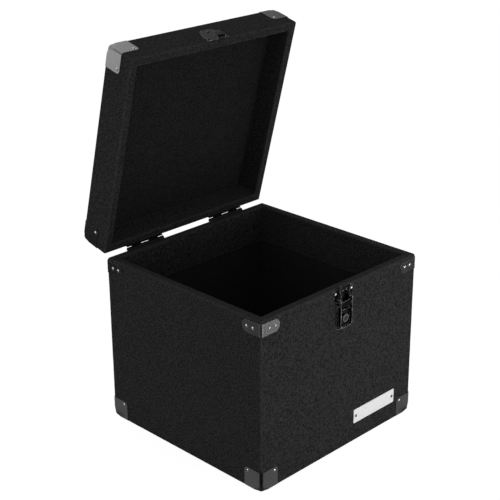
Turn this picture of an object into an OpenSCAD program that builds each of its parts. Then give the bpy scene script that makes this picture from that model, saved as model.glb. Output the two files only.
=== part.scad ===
// Record carrying case with a hinged lid, metal corners and a locking draw latch.
// X runs across the case, the latch is on the -Y face, Z is up, and z = 0 is the floor.
// The lid is drawn standing open. Its pieces are laid out closed and then turned about the hinges.

/* [Case] */
// Width of the case over the carpet, left to right
case_w = 364; // [340:1:420]
// Depth of the case over the carpet, front to rear
case_d = 352; // [340:1:420]
// Height of the base's rim above the floor
base_h = 293; // [270:1:340]
// Height that the lid adds when it is closed
lid_h = 57; // [50:1:80]
// Gap between the two rims when the lid is closed
rim_gap = 0.4; // [0.3:0.1:1]
// Angle that the lid stands open at, from closed
lid_open = 75.34; // [20:0.01:170]

/* [Panels and lining] */
// Thickness of the plywood panels
ply_t = 9.5; // [7:0.5:12]
// Thickness of the carpet covering
carpet_t = 2.75; // [2.25:0.25:3.5]
// Radius of the carpet on every outer edge
edge_r = 3.5; // [2.5:0.25:5]
// Radius of the carpet on the inner edge of each rim
mouth_r = 3; // [1.5:0.25:4]
// How far the base's carpet reaches down inside
wrap_drop = 66.5; // [30:0.5:120]
// Thickness of the dark lining below that carpet
lining_t = 1.5; // [1:0.25:2.5]
// Thickness of the pad on the floor of the base
pad_t = 4; // [2:0.5:8]
// Gap left round the pad
pad_gap = 0.5; // [0.3:0.1:2]

/* [Corner guards] */
// Sheet thickness of the corner guards and rim brackets
guard_t = 1; // [0.8:0.1:1.5]
// Reach of a corner guard along the horizontal edges
guard_reach = 35.5; // [33:0.5:45]
// Height of a corner guard
guard_h = 36; // [33:0.5:42]
// Radius of a flange's free corner
guard_tip_r = 6; // [2:0.5:8]
// Screw's distance from the guard's vertical edge
guard_screw_in = 28; // [24:0.5:30]
// Screw's distance from the guard's lower or upper face
guard_screw_up = 30.5; // [24:0.5:32]

/* [Rim brackets] */
// Length of a bracket's leg from the vertical edge
bracket_leg = 39; // [34:0.5:46]
// Height of a bracket
bracket_h = 21; // [17:0.5:26]
// Gap between a bracket and the top of the rim
bracket_drop = 4.5; // [4:0.5:12]
// Distance of a leg's first screw from the vertical edge
bracket_screw_1 = 16; // [13.5:0.5:18]
// Distance of a leg's second screw from the vertical edge
bracket_screw_2 = 29; // [26:0.5:32]

/* [Hinges] */
// Distance of each hinge's centre from the side of the case
hinge_side = 88; // [80:1:112]
// Length of a hinge
hinge_len = 78; // [60:1:90]
// Height of a hinge leaf from its barrel
leaf_h = 30; // [24:1:40]
// Sheet thickness of a leaf
leaf_t = 1.3; // [1:0.1:1.8]
// Radius of the hinge barrel
barrel_r = 3.5; // [3:0.1:4.5]
// Radius of the hinge pin
hinge_pin_r = 1.6; // [1.2:0.1:2]
// How far the hinge axis lies below the base's rim
hinge_drop = 2.1; // [1:0.1:4]
// Width of an outer knuckle of the base leaf
outer_knuckle = 10.2; // [8:0.2:12]
// Width of a lid knuckle
lid_knuckle = 20.4; // [16:0.2:22]
// Side clearance between two knuckles
knuckle_gap = 0.3; // [0.2:0.1:0.6]
// Distance between a leaf's screws along the hinge
leaf_screw_pitch = 50; // [40:1:56]
// Distance of a leaf's outer screws from its free edge
leaf_screw_edge = 7; // [5:0.5:8]
// Distance of a leaf's inner screws from the hinge axis
leaf_screw_near = 12; // [11:0.5:13]

/* [Draw latch] */
// Sheet thickness of the latch plate and keeper plate
plate_t = 1.2; // [1:0.1:1.6]
// Width of the latch plate and keeper plate at their screws
plate_w = 45; // [42:0.5:50]
// Width of the latch plate behind the lever
plate_foot_w = 28; // [24:0.5:31]
// Height of the lever pivot below the base's rim
pivot_drop = 21.8; // [20:0.1:24]
// Distance of the lever pivot from the front of the case
pivot_out = 5.5; // [5.4:0.1:6]
// Height of the lever pivot above the claw pin
crank = 9; // [8.6:0.1:10]
// How much nearer to the case the claw pin lies than the lever pivot
crank_in = 0.1; // [0:0.05:0.3]
// Radius of the lever's pivots and of the claw pin
latch_pin_r = 1.3; // [1:0.1:1.5]
// Width of the lever
lever_w = 27.3; // [27:0.1:30]
// Sheet thickness of the lever
lever_t = 1.2; // [1:0.1:1.3]
// Height of the lever's tray
tray_h = 32; // [31:0.5:36]
// Distance of the tray's floor from the front of the case
tray_out = 3.6; // [3.5:0.1:4]
// Depth of the tray from rim to back
tray_depth = 5.6; // [5:0.1:7]
// Cut of the tray's lower corners
tray_chamfer = 4; // [2:0.5:6]
// Turn of the lever from closed to open
lever_turn = 150; // [120:1:155]
// Turn of the claw on the lever for each degree of the lever
claw_ratio = 1.08; // [1:0.01:1.12]

/* [Claw and keeper] */
// Width of the claw
claw_w = 23.5; // [23:0.1:24]
// Sheet thickness of the claw
claw_t = 1.6; // [1.2:0.1:2]
// Width of the window in the claw
window_w = 18; // [17.8:0.1:18.8]
// Height of the bar above the window
claw_bar_h = 6.3; // [5:0.1:7]
// Width of the keeper's hook
hook_w = 17; // [15:0.1:17.2]
// Inner radius of the keeper's hook
hook_r = 3.3; // [3.2:0.1:3.6]
// Height of the hook's outer wall above the lid's rim
hook_wall = 12.1; // [9:0.1:12.5]
// Height of the keeper plate
keeper_h = 35; // [30:0.5:40]

/* [Lock] */
// Radius of the key cylinder
lock_r = 5; // [4.5:0.1:5.5]
// Wall of the lock's housing
housing_t = 1.5; // [1.2:0.1:2]
// Height of the lock's axis above the foot of the lever
lock_up = 14.5; // [13:0.5:16]
// Length of the lock's cam from its axis
cam_len = 9.5; // [8.5:0.1:10]
// Width of the lock's cam
cam_w = 6; // [5:0.1:6.5]

/* [Nameplate] */
// Width of the nameplate
nameplate_w = 103.5; // [80:0.5:120]
// Height of the nameplate
nameplate_h = 25; // [18:0.5:35]
// Sheet thickness of the nameplate
nameplate_t = 0.8; // [0.6:0.1:1.2]
// Distance of the nameplate's centre from the right side of the case
nameplate_side = 95.5; // [92:0.5:122]
// Height of the nameplate's centre above the floor
nameplate_z = 46.8; // [40:0.5:120]

/* [Handle] */
// Distance between the two handle pins' centres
handle_span = 124; // [110:1:150]
// Reach of the handle from its pins to the middle of the grip
handle_reach = 36; // [32:1:45]
// Height of the handle pins above the lid
handle_pivot_h = 9.6; // [9.5:0.1:12]
// Radius of the grip at its middle
grip_r = 9.2; // [8:0.1:9.2]
// Radius of the handle's arms
arm_r = 6; // [5:0.1:6]
// Radius of the bends between grip and arms
elbow_r = 14; // [10:0.5:18]
// Radius of the handle pins
handle_pin_r = 2.5; // [2:0.1:3]
// Sheet thickness of the handle's brackets
ear_t = 2; // [1.5:0.1:2.5]

/* [Fasteners and fits] */
// Radius of a screw's head
screw_head_r = 2.7; // [2.2:0.1:3]
// Height of a screw's head
screw_head_h = 1.4; // [1:0.1:1.5]
// Radius of a screw's shank
screw_r = 1.5; // [1.2:0.1:1.8]
// Length of a screw under its head
screw_len = 10; // [8:0.5:11]
// Radial clearance of a turning fit
run_fit = 0.05; // [0.03:0.01:0.08]
// Radial clearance of a fixed pin or screw in its hole
seat_fit = 0.02; // [0.01:0.01:0.03]

/* [Hidden] */
$fn = 48;
eps = 0.01;
big = 1000;

black_carpet = [0.10, 0.10, 0.105];
dark_felt = [0.05, 0.05, 0.05];
birch_ply = [0.72, 0.58, 0.40];
gunmetal = [0.33, 0.33, 0.34];
black_plating = [0.16, 0.16, 0.17];
pale_aluminium = [0.80, 0.80, 0.80];
black_plastic = [0.07, 0.07, 0.07];

// Heights of the base and the closed lid
wall_t = carpet_t + ply_t + carpet_t;
shell_w = case_w - 2 * carpet_t;
shell_d = case_d - 2 * carpet_t;
room_w = case_w - 2 * wall_t;
room_d = case_d - 2 * wall_t;
floor_z = carpet_t + ply_t;
lining_w = shell_w - 2 * ply_t;
lining_d = shell_d - 2 * ply_t;
lid_z = base_h + rim_gap;
lid_top_z = base_h + lid_h;
lid_roof_z = lid_top_z - carpet_t - ply_t - carpet_t;

// Hinge axis, and places along it
axis_y = case_d / 2 + leaf_t + barrel_r;
axis_z = base_h - hinge_drop;
hinge_x = case_w / 2 - hinge_side;
neck_t = leaf_t;
lid_inner_x = hinge_len / 2 - outer_knuckle - lid_knuckle;
lid_outer_x = hinge_len / 2 - outer_knuckle;

// Latch plate. Heights are measured up from the floor
side_play = 0.25;
plate_rim_drop = 3;
plate_head_h = 13;
plate_neck_h = 11;
plate_tip = 2.5;
plate_toe = 4.5;
plate_screw_edge = 3.7;
plate_screw_drop = 5.5;
plate_screw_toe = 3.8;
ear_r = 3.6;
ear_foot = 7;
ear_foot_out = 2;
pivot_head_r = 2.4;
pivot_head_h = 1;
latch_pivot_z = base_h - pivot_drop;
plate_top_z = base_h - plate_rim_drop;
plate_shoulder_z = plate_top_z - plate_head_h;
plate_waist_z = plate_shoulder_z - plate_neck_h;
ear_in = lever_w / 2 + side_play;
ear_out = ear_in + plate_t;

// Lever
tray_below_pivot = 13.2;
tray_floor_drop = 3.5;
lever_eye_r = 4;
cheek_in = lever_w / 2 - lever_t;
tray_top_z = latch_pivot_z - tray_below_pivot;
tray_foot_z = tray_top_z - tray_h;
tray_floor_top_z = tray_top_z - tray_floor_drop;
plate_foot_z = tray_foot_z - plate_toe;

// Keeper's hook, in the lid's closed place
hook_drop = 0.3;
hook_outer_r = hook_r + plate_t;
hook_z = base_h - hook_drop;
hook_notch = 2.6;
hook_notch_side = 1.3;
keeper_tip = 2.5;
keeper_inset = 0.5;
keeper_shoulder = 14;
keeper_cut_x = 8;
keeper_cut_z = 3;
keeper_crown_x = 15;
keeper_screw_edge = 4.5;
keeper_screw_up = 7;
keeper_screw_top = 8.5;

// Claw
roll_r = 2.7;
bar_play = 0.5;
window_h = 20.5;
claw_bend_drop = 4;
bead_r = claw_t * 0.75;
claw_pin_z = latch_pivot_z - crank;
claw_pin_out = pivot_out - crank_in;
bar_low_z = hook_z - hook_r + bar_play;
bar_top_z = bar_low_z + claw_bar_h;
bar_out = hook_outer_r;
window_low_z = bar_low_z - window_h;
claw_root_out = claw_pin_out + roll_r - claw_t / 2;
claw_bend_z = bar_low_z - claw_bend_drop;

// Lock, in layers measured out from the front of the case
cam_lift = 0.4;
cam_t = 1;
catch_play = 0.2;
catch_t = 0.5;
catch_w = 4;
catch_x = 6;
catch_leg_t = 1.6;
lock_recess = 1;
lock_chamfer = 0.5;
key_slot_w = 1.2;
key_slot_l = 6;
key_slot_depth = 2.2;
housing_recess = 1.6;
lock_z = tray_foot_z + lock_up;
cam_out = plate_t + cam_lift;
catch_out = cam_out + cam_t + catch_play;
catch_low_z = lock_z - cam_w / 2 + 1;
catch_leg_z = lock_z + cam_w / 2 + cam_lift;
lock_face_out = tray_out + tray_depth - lock_recess;

// Nameplate and handle
nameplate_corner_r = 1.5;
nameplate_screw_edge = 5.5;
nameplate_x = case_w / 2 - nameplate_side;
handle_ear_r = 6.5;
handle_plate_l = 44;
handle_plate_t = 1.5;
handle_rivet_y = 16;
handle_pin_end = 0.8;
handle_eye_half = arm_r + side_play;

// Draws its children on the front of the case: x across, y up from the floor, z out of the case
module on_front() {
    translate([0, -case_d / 2, 0]) rotate([90, 0, 0]) children();
}

// The same on the rear, seen in a mirror, so that x still runs across the case
module on_rear() {
    mirror([0, 1, 0]) on_front() children();
}

// Draws its children on the right side: x from front to rear, y up, z out of the case
module on_right() {
    translate([case_w / 2, 0, 0]) rotate([90, 0, 90]) children();
}

module on_both_sides() {
    on_right() children();
    mirror([1, 0, 0]) on_right() children();
}

// Turns what is drawn in the lid's closed place to where the lid stands open
module open_lid() {
    translate([0, axis_y, axis_z]) rotate([-lid_open, 0, 0]) translate([0, -axis_y, -axis_z]) children();
}

// Carries a piece drawn at the left front into one of the four quadrants
module in_quadrant(right, rear) {
    mirror([right ? 1 : 0, 0, 0]) mirror([0, rear ? 1 : 0, 0]) children();
}

module in_all_quadrants() {
    for (right = [false, true], rear = [false, true]) in_quadrant(right, rear) children();
}

// Raised-head screw whose head sits on z = 0 and whose shank points down
module screw(length = screw_len) {
    slot_w = 0.7;
    slot_l = screw_head_r * 1.2;
    difference() {
        union() {
            intersection() {
                translate([0, 0, screw_head_h - screw_head_r * 1.6]) sphere(r = screw_head_r * 1.6);
                cylinder(r = screw_head_r, h = screw_head_h * 2);
            }
            translate([0, 0, -length]) cylinder(r = screw_r, h = length + eps);
        }
        for (turn = [0, 90]) rotate(turn) translate([-slot_l / 2, -slot_w / 2, screw_head_h * 0.45])
            cube([slot_l, slot_w, screw_head_h]);
    }
}

// Screw whose flat head sits flush with z = 0
module flush_screw() {
    difference() {
        union() {
            translate([0, 0, -screw_head_h]) cylinder(r1 = screw_r, r2 = screw_head_r, h = screw_head_h);
            translate([0, 0, -screw_len]) cylinder(r = screw_r, h = screw_len - screw_head_h + eps);
        }
        translate([-screw_head_r * 0.6, -0.35, -0.7]) cube([screw_head_r * 1.2, 0.7, 1]);
    }
}

module screw_hole(length = screw_len) {
    translate([0, 0, -length - 0.5]) cylinder(r = screw_r + seat_fit, h = length + 3);
}

module flush_screw_hole() {
    screw_hole();
    translate([0, 0, -screw_head_h - seat_fit])
        cylinder(r1 = screw_r + seat_fit, r2 = screw_head_r + seat_fit * 2, h = screw_head_h + seat_fit);
    translate([0, 0, -eps]) cylinder(r = screw_head_r + seat_fit * 2, h = 2);
}

// Block with every edge rounded, centred on x and y, from z = low to z = high
module rounded_block(w, d, low, high, r) {
    h = high - low;
    translate([0, 0, low]) {
        translate([-w / 2 + r, -d / 2 + r, 0]) cube([w - 2 * r, d - 2 * r, h]);
        translate([-w / 2, -d / 2 + r, r]) cube([w, d - 2 * r, h - 2 * r]);
        translate([-w / 2 + r, -d / 2, r]) cube([w - 2 * r, d, h - 2 * r]);
        for (x = [-w / 2 + r, w / 2 - r], y = [-d / 2 + r, d / 2 - r]) {
            translate([x, y, r]) cylinder(r = r, h = h - 2 * r);
            for (z = [r, h - r]) translate([x, y, z]) sphere(r = r);
        }
        for (z = [r, h - r]) {
            for (x = [-w / 2 + r, w / 2 - r])
                translate([x, -d / 2 + r, z]) rotate([-90, 0, 0]) cylinder(r = r, h = d - 2 * r);
            for (y = [-d / 2 + r, d / 2 - r])
                translate([-w / 2 + r, y, z]) rotate([0, 90, 0]) cylinder(r = r, h = w - 2 * r);
        }
    }
}

module box_on(w, d, low, high) {
    translate([-w / 2, -d / 2, low]) cube([w, d, high - low]);
}

// Section of one carpeted wall at its rim: x = 0 is the outer face, y = 0 the rim, y runs away from it
module rim_section(height, wrap) {
    square([carpet_t, height]);
    difference() {
        square([wall_t, wrap]);
        difference() {
            translate([wall_t - mouth_r, -eps]) square([mouth_r + eps, mouth_r + eps]);
            translate([wall_t - mouth_r, mouth_r]) circle(r = mouth_r);
        }
    }
}

// The four carpeted walls, drawn with the rim at z = 0 and the walls running up
module carpet_walls(height, wrap) {
    for (side = [0, 1]) {
        mirror([side, 0, 0]) translate([-case_w / 2, case_d / 2, 0]) rotate([90, 0, 0])
            linear_extrude(case_d) rim_section(height, wrap);
        mirror([0, side, 0]) translate([-case_w / 2, -case_d / 2, 0]) rotate([90, 0, 90])
            linear_extrude(case_w) rim_section(height, wrap);
    }
}

// Space that the plywood takes inside a carpet cover, with the rim at z = 0 and the walls running up
module plywood_ring(high) {
    difference() {
        box_on(shell_w, shell_d, carpet_t, high);
        box_on(lining_w, lining_d, carpet_t - 1, high + 1);
    }
}

// Screw places. Each module draws its children on the face with the screw's head at the given height
module guard_side_sites() {
    for (side = [-1, 1]) {
        on_front() translate([side * (case_w / 2 - guard_screw_in), guard_screw_up, guard_t]) children();
        on_rear() translate([side * (case_w / 2 - guard_screw_in), guard_screw_up, guard_t]) children();
        on_both_sides() translate([side * (case_d / 2 - guard_screw_in), guard_screw_up, guard_t]) children();
    }
}

module guard_flat_sites() {
    in_all_quadrants() translate([-case_w / 2 + guard_screw_in, -case_d / 2 + guard_screw_in, 0])
        rotate([180, 0, 0]) children();
}

module bracket_sites() {
    z = base_h - bracket_drop - bracket_h / 2;
    for (side = [-1, 1], place = [bracket_screw_1, bracket_screw_2]) {
        on_front() translate([side * (case_w / 2 - place), z, guard_t]) children();
        on_rear() translate([side * (case_w / 2 - place), z, guard_t]) children();
        on_both_sides() translate([side * (case_d / 2 - place), z, guard_t]) children();
    }
}

// up is 1 for the lid's leaves and -1 for the base's
module leaf_sites(up) {
    for (hinge = [-1, 1], place = [-1, 1], row = [leaf_screw_near, leaf_h - leaf_screw_edge])
        on_rear() translate([hinge * hinge_x + place * leaf_screw_pitch / 2, axis_z + up * row, leaf_t])
            children();
}

module plate_screw_sites() {
    side_x = plate_w / 2 - plate_screw_edge;
    on_front() {
        for (side = [-1, 1]) translate([side * side_x, plate_top_z - plate_screw_drop, plate_t]) children();
        translate([0, plate_foot_z + plate_screw_toe, plate_t]) children();
    }
}

module keeper_screw_sites() {
    side_x = plate_w / 2 - keeper_screw_edge;
    on_front() {
        for (side = [-1, 1]) translate([side * side_x, lid_z + keeper_screw_up, plate_t]) children();
        translate([0, lid_z + keeper_h - keeper_screw_top, plate_t]) children();
    }
}

module nameplate_sites() {
    side_x = nameplate_w / 2 - nameplate_screw_edge;
    on_front() for (side = [-1, 1])
        translate([nameplate_x + side * side_x, nameplate_z, nameplate_t]) children();
}

module rivet_sites() {
    for (side = [-1, 1], place = [-1, 1])
        translate([side * handle_span / 2, place * handle_rivet_y, lid_top_z + handle_plate_t]) children();
}

// Drilled holes of everything that screws into the base
module base_holes() {
    guard_side_sites() screw_hole();
    guard_flat_sites() flush_screw_hole();
    bracket_sites() screw_hole();
    leaf_sites(-1) screw_hole();
    plate_screw_sites() screw_hole();
    nameplate_sites() screw_hole();
}

// The same for the lid, in its closed place
module lid_holes() {
    lid_guard_sites() screw_hole();
    leaf_sites(1) screw_hole();
    keeper_screw_sites() screw_hole();
    rivet_sites() screw_hole();
}

module lid_guard_sites() {
    translate([0, 0, lid_top_z + guard_t]) mirror([0, 0, 1]) {
        guard_side_sites() children();
        guard_flat_sites() children();
    }
}

// Base carcass
module base_front_panel() {
    color(birch_ply) difference() {
        translate([-shell_w / 2, -shell_d / 2, carpet_t])
            cube([shell_w, ply_t, base_h - 2 * carpet_t]);
        base_holes();
    }
}

module base_rear_panel() {
    color(birch_ply) difference() {
        translate([-shell_w / 2, shell_d / 2 - ply_t, carpet_t])
            cube([shell_w, ply_t, base_h - 2 * carpet_t]);
        base_holes();
    }
}

module base_side_panel(right) {
    color(birch_ply) difference() {
        mirror([right ? 1 : 0, 0, 0]) translate([-shell_w / 2, -shell_d / 2 + ply_t, carpet_t])
            cube([ply_t, shell_d - 2 * ply_t, base_h - 2 * carpet_t]);
        base_holes();
    }
}

module base_bottom_panel() {
    color(birch_ply) difference() {
        box_on(lining_w, lining_d, carpet_t, floor_z);
        base_holes();
    }
}

// Place at the front left corner where a guard presses the carpet in, so that both stand on the floor
module guard_press() {
    outer = edge_r + guard_t;
    reach = guard_reach - edge_r;
    translate([-case_w / 2 + edge_r, -case_d / 2 + edge_r, -1]) {
        linear_extrude(1 + guard_t) flange_outline(reach, reach);
        translate([-outer, -outer, 0]) cube([outer + reach, outer, 1 + outer]);
        translate([-outer, -outer, 0]) cube([outer, outer + reach, 1 + outer]);
    }
}

// Outer form of the carpeted base
module base_form() {
    difference() {
        rounded_block(case_w, case_d, 0, base_h, edge_r);
        difference() {
            in_all_quadrants() guard_press();
            rounded_block(case_w, case_d, guard_t, base_h, edge_r);
        }
    }
}

// One sheet of carpet round the outside, over the rim and down the inside
module base_cover() {
    color(black_carpet) difference() {
        intersection() {
            base_form();
            translate([0, 0, base_h]) mirror([0, 0, 1]) carpet_walls(base_h, wrap_drop);
        }
        box_on(shell_w, shell_d, -1, carpet_t);
        translate([0, 0, base_h]) mirror([0, 0, 1]) plywood_ring(wrap_drop + 1);
        base_holes();
    }
}

// Sheet of carpet under the bottom panel
module base_underside() {
    color(black_carpet) difference() {
        intersection() {
            base_form();
            box_on(shell_w, shell_d, 0, carpet_t);
        }
        base_holes();
    }
}

module base_lining() {
    color(dark_felt) difference() {
        box_on(lining_w, lining_d, floor_z, base_h - wrap_drop);
        box_on(lining_w - 2 * lining_t, lining_d - 2 * lining_t, floor_z - 1, base_h);
    }
}

module floor_pad() {
    inset = 2 * (lining_t + pad_gap);
    color(dark_felt) box_on(lining_w - inset, lining_d - inset, floor_z, floor_z + pad_t);
}

// Quarter of a ring in the x-, y- quadrant
module quarter_ring(outer, inner) {
    intersection() {
        difference() {
            circle(r = outer);
            circle(r = inner);
        }
        translate([-outer - 1, -outer - 1]) square(outer + 1);
    }
}

// Flange outline from the bend at (0, 0), with its free corner rounded
module flange_outline(long, high) {
    r = guard_tip_r;
    difference() {
        square([long, high]);
        difference() {
            translate([long - r, high - r]) square(r + 1);
            translate([long - r, high - r]) circle(r = r);
        }
    }
}

// Three flanges, three bends and a rounded point, for the front left corner at the floor.
// flush is true where the screw of the flat flange must not stand proud
module corner_guard(flush) {
    outer = edge_r + guard_t;
    reach = guard_reach - outer + guard_t;
    high = guard_h - outer;
    difference() {
        translate([-case_w / 2 + edge_r, -case_d / 2 + edge_r, outer]) {
            translate([0, -edge_r, 0]) rotate([90, 0, 0])
                linear_extrude(guard_t) flange_outline(reach, high);
            translate([-edge_r, 0, 0]) rotate([90, 0, -90]) mirror([1, 0, 0])
                linear_extrude(guard_t) flange_outline(reach, high);
            translate([0, 0, -outer]) linear_extrude(guard_t) flange_outline(reach, reach);
            linear_extrude(high) quarter_ring(outer, edge_r);
            rotate([90, 0, 90]) linear_extrude(reach) quarter_ring(outer, edge_r);
            rotate([-90, 180, 0]) linear_extrude(reach) mirror([1, 0, 0]) quarter_ring(outer, edge_r);
            rotate(180) rotate_extrude(angle = 90) mirror([1, 0]) quarter_ring(outer, edge_r);
        }
        guard_side_sites() screw_hole();
        guard_flat_sites() {
            if (flush) flush_screw_hole();
            else screw_hole();
        }
    }
}

module base_guard(right, rear) {
    color(gunmetal) in_quadrant(right, rear) corner_guard(true);
}

module lid_guard(right, rear) {
    color(gunmetal) open_lid() translate([0, 0, lid_top_z + guard_t]) mirror([0, 0, 1])
        in_quadrant(right, rear) corner_guard(false);
}

module base_guard_screws() {
    color(black_plating) {
        guard_side_sites() screw();
        guard_flat_sites() flush_screw();
    }
}

module lid_guard_screws() {
    color(black_plating) open_lid() lid_guard_sites() screw();
}

// Leg of a rim bracket with a round end
module leg_outline() {
    straight = bracket_leg - bracket_h / 2 - edge_r;
    square([straight, bracket_h]);
    translate([straight, bracket_h / 2]) circle(d = bracket_h);
}

// Angle bracket under the rim, for the front left edge
module rim_bracket(right, rear) {
    outer = edge_r + guard_t;
    low_z = base_h - bracket_drop - bracket_h;
    color(gunmetal) in_quadrant(right, rear) difference() {
        translate([-case_w / 2 + edge_r, -case_d / 2 + edge_r, low_z]) {
            translate([0, -edge_r, 0]) rotate([90, 0, 0]) linear_extrude(guard_t) leg_outline();
            translate([-edge_r, 0, 0]) rotate([90, 0, -90]) mirror([1, 0, 0])
                linear_extrude(guard_t) leg_outline();
            linear_extrude(bracket_h) quarter_ring(outer, edge_r);
        }
        bracket_sites() screw_hole();
    }
}

module rim_bracket_screws() {
    color(black_plating) bracket_sites() screw();
}

// Hinges. Knuckle places are half-widths from the hinge's middle
module barrel_piece(from, to, bore_r) {
    translate([from, axis_y, axis_z]) rotate([0, 90, 0]) difference() {
        cylinder(r = barrel_r, h = to - from);
        translate([0, 0, -1]) cylinder(r = bore_r, h = to - from + 2);
    }
}

// up is 1 for the lid's leaf and -1 for the base's
module hinge_leaf(hinge, up, knuckles, bore_r) {
    neck_z = up > 0 ? barrel_r - neck_t : -barrel_r;
    leaf_low = up > 0 ? neck_z : -leaf_h;
    leaf_high = up > 0 ? leaf_h : neck_z + neck_t;
    difference() {
        translate([hinge * hinge_x, 0, 0]) {
            translate([-hinge_len / 2, case_d / 2, axis_z + leaf_low])
                cube([hinge_len, leaf_t, leaf_high - leaf_low]);
            for (k = knuckles) {
                barrel_piece(k[0], k[1], bore_r);
                difference() {
                    translate([k[0], case_d / 2, axis_z + neck_z]) cube([k[1] - k[0], axis_y - case_d / 2, neck_t]);
                    translate([k[0] - 1, axis_y, axis_z]) rotate([0, 90, 0])
                        cylinder(r = (barrel_r + bore_r) / 2, h = k[1] - k[0] + 2);
                }
            }
        }
        leaf_sites(up) screw_hole();
    }
}

base_knuckles = [
    [-hinge_len / 2, -lid_outer_x - knuckle_gap / 2],
    [-lid_inner_x + knuckle_gap / 2, lid_inner_x - knuckle_gap / 2],
    [lid_outer_x + knuckle_gap / 2, hinge_len / 2]
];
lid_knuckles = [
    [-lid_outer_x + knuckle_gap / 2, -lid_inner_x - knuckle_gap / 2],
    [lid_inner_x + knuckle_gap / 2, lid_outer_x - knuckle_gap / 2]
];

module base_leaf(hinge) {
    color(black_plating) hinge_leaf(hinge, -1, base_knuckles, hinge_pin_r + seat_fit);
}

module lid_leaf(hinge) {
    color(black_plating) open_lid() hinge_leaf(hinge, 1, lid_knuckles, hinge_pin_r + run_fit);
}

module hinge_pins() {
    color(gunmetal) for (hinge = [-1, 1])
        translate([hinge * hinge_x - hinge_len / 2, axis_y, axis_z]) rotate([0, 90, 0])
            cylinder(r = hinge_pin_r, h = hinge_len);
}

module base_leaf_screws() {
    color(gunmetal) leaf_sites(-1) screw();
}

module lid_leaf_screws() {
    color(gunmetal) open_lid() leaf_sites(1) screw();
}

// Draw latch. Outlines below are drawn on the front face: x across, y up
module latch_plate_outline() {
    half = plate_w / 2;
    foot = plate_foot_w / 2;
    tip = plate_tip;
    notch = hook_w / 2 + hook_notch_side;
    notch_z = hook_z - hook_outer_r - hook_notch;
    polygon([
        [-half, plate_shoulder_z], [-half, plate_top_z - tip], [-half + tip, plate_top_z],
        [-notch, plate_top_z], [-notch, notch_z], [notch, notch_z], [notch, plate_top_z],
        [half - tip, plate_top_z], [half, plate_top_z - tip], [half, plate_shoulder_z],
        [foot, plate_waist_z], [foot, plate_foot_z + tip], [foot - tip, plate_foot_z],
        [-foot + tip, plate_foot_z], [-foot, plate_foot_z + tip], [-foot, plate_waist_z]
    ]);
}

// Side view of an ear that stands out from the plate and holds a lever pivot
module ear_profile() {
    translate([0, latch_pivot_z - ear_foot]) square([pivot_out, ear_foot + ear_r]);
    translate([pivot_out, latch_pivot_z]) circle(r = ear_r);
    translate([0, latch_pivot_z - ear_foot]) square([pivot_out + ear_foot_out, ear_foot]);
}

// Draws a side view (x out of the case, y up) as a slab from x = from to x = to across the case
module across(from, to) {
    translate([from, -case_d / 2, 0]) mirror([0, 1, 0]) rotate([90, 0, 90]) linear_extrude(to - from) children();
}

module latch_plate() {
    color(black_plating) difference() {
        union() {
            on_front() linear_extrude(plate_t) latch_plate_outline();
            for (side = [0, 1]) mirror([side, 0, 0]) across(ear_in, ear_out) ear_profile();
            on_front() translate([catch_x, catch_leg_z, plate_t - eps])
                cube([catch_w, catch_leg_t, catch_out + catch_t - plate_t + eps]);
            on_front() translate([catch_x, catch_low_z, catch_out])
                cube([catch_w, catch_leg_z + catch_leg_t - catch_low_z, catch_t]);
        }
        plate_screw_sites() screw_hole();
        on_latch_axis(pivot_out, latch_pivot_z) cylinder(r = latch_pin_r + seat_fit, h = big, center = true);
    }
}

// Puts its children on an axis across the case, at this distance out and height
module on_latch_axis(out, z) {
    translate([0, -case_d / 2 - out, z]) rotate([0, 90, 0]) children();
}

module latch_plate_screws() {
    color(gunmetal) plate_screw_sites() screw();
}

module lever_pivots() {
    color(gunmetal) for (side = [0, 1]) mirror([side, 0, 0]) {
        translate([cheek_in, 0, 0]) on_latch_axis(pivot_out, latch_pivot_z)
            cylinder(r = latch_pin_r, h = ear_out - cheek_in + eps);
        translate([ear_out, 0, 0]) on_latch_axis(pivot_out, latch_pivot_z)
            cylinder(r = pivot_head_r, h = pivot_head_h);
    }
}

// Outline of the tray with its lower corners cut, drawn inside its outer size by inset
module tray_outline(inset) {
    half = lever_w / 2 - inset;
    low = tray_foot_z + inset;
    cut = tray_chamfer - inset * (2 - sqrt(2));
    polygon([
        [-half, tray_top_z], [-half, low + cut], [-half + cut, low],
        [half - cut, low], [half, low + cut], [half, tray_top_z]
    ]);
}

// Side view of a cheek that runs from the tray up to the lever's pivot
module cheek_profile() {
    side = lever_eye_r * 0.9;
    low = tray_top_z - lever_t;
    polygon([
        [tray_out, low], [tray_out + tray_depth, low], [pivot_out + side, latch_pivot_z],
        [pivot_out, latch_pivot_z + lever_t], [pivot_out - side, latch_pivot_z]
    ]);
    translate([pivot_out, latch_pivot_z]) circle(r = lever_eye_r);
}

module latch_lever() {
    color(black_plating) difference() {
        union() {
            on_front() difference() {
                translate([0, 0, tray_out]) linear_extrude(tray_depth) tray_outline(0);
                translate([0, 0, tray_out + lever_t]) linear_extrude(tray_depth) tray_outline(lever_t);
                translate([-cheek_in, tray_floor_top_z, 0]) cube([2 * cheek_in, tray_h, big]);
            }
            for (side = [0, 1]) mirror([side, 0, 0]) across(cheek_in, lever_w / 2) cheek_profile();
        }
        on_latch_axis(pivot_out, latch_pivot_z) cylinder(r = latch_pin_r + run_fit, h = big, center = true);
        on_latch_axis(claw_pin_out, claw_pin_z) cylinder(r = latch_pin_r + seat_fit, h = big, center = true);
        on_front() translate([0, lock_z, 0]) cylinder(r = lock_r + run_fit, h = big);
    }
}

module claw_pin() {
    color(gunmetal) on_latch_axis(claw_pin_out, claw_pin_z)
        cylinder(r = latch_pin_r, h = lever_w, center = true);
}

module lock_housing() {
    color(gunmetal) on_front() translate([0, lock_z, tray_out + lever_t]) difference() {
        cylinder(r = lock_r + housing_t, h = tray_depth - lever_t - housing_recess);
        translate([0, 0, -1]) cylinder(r = lock_r + run_fit, h = big);
    }
}

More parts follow.
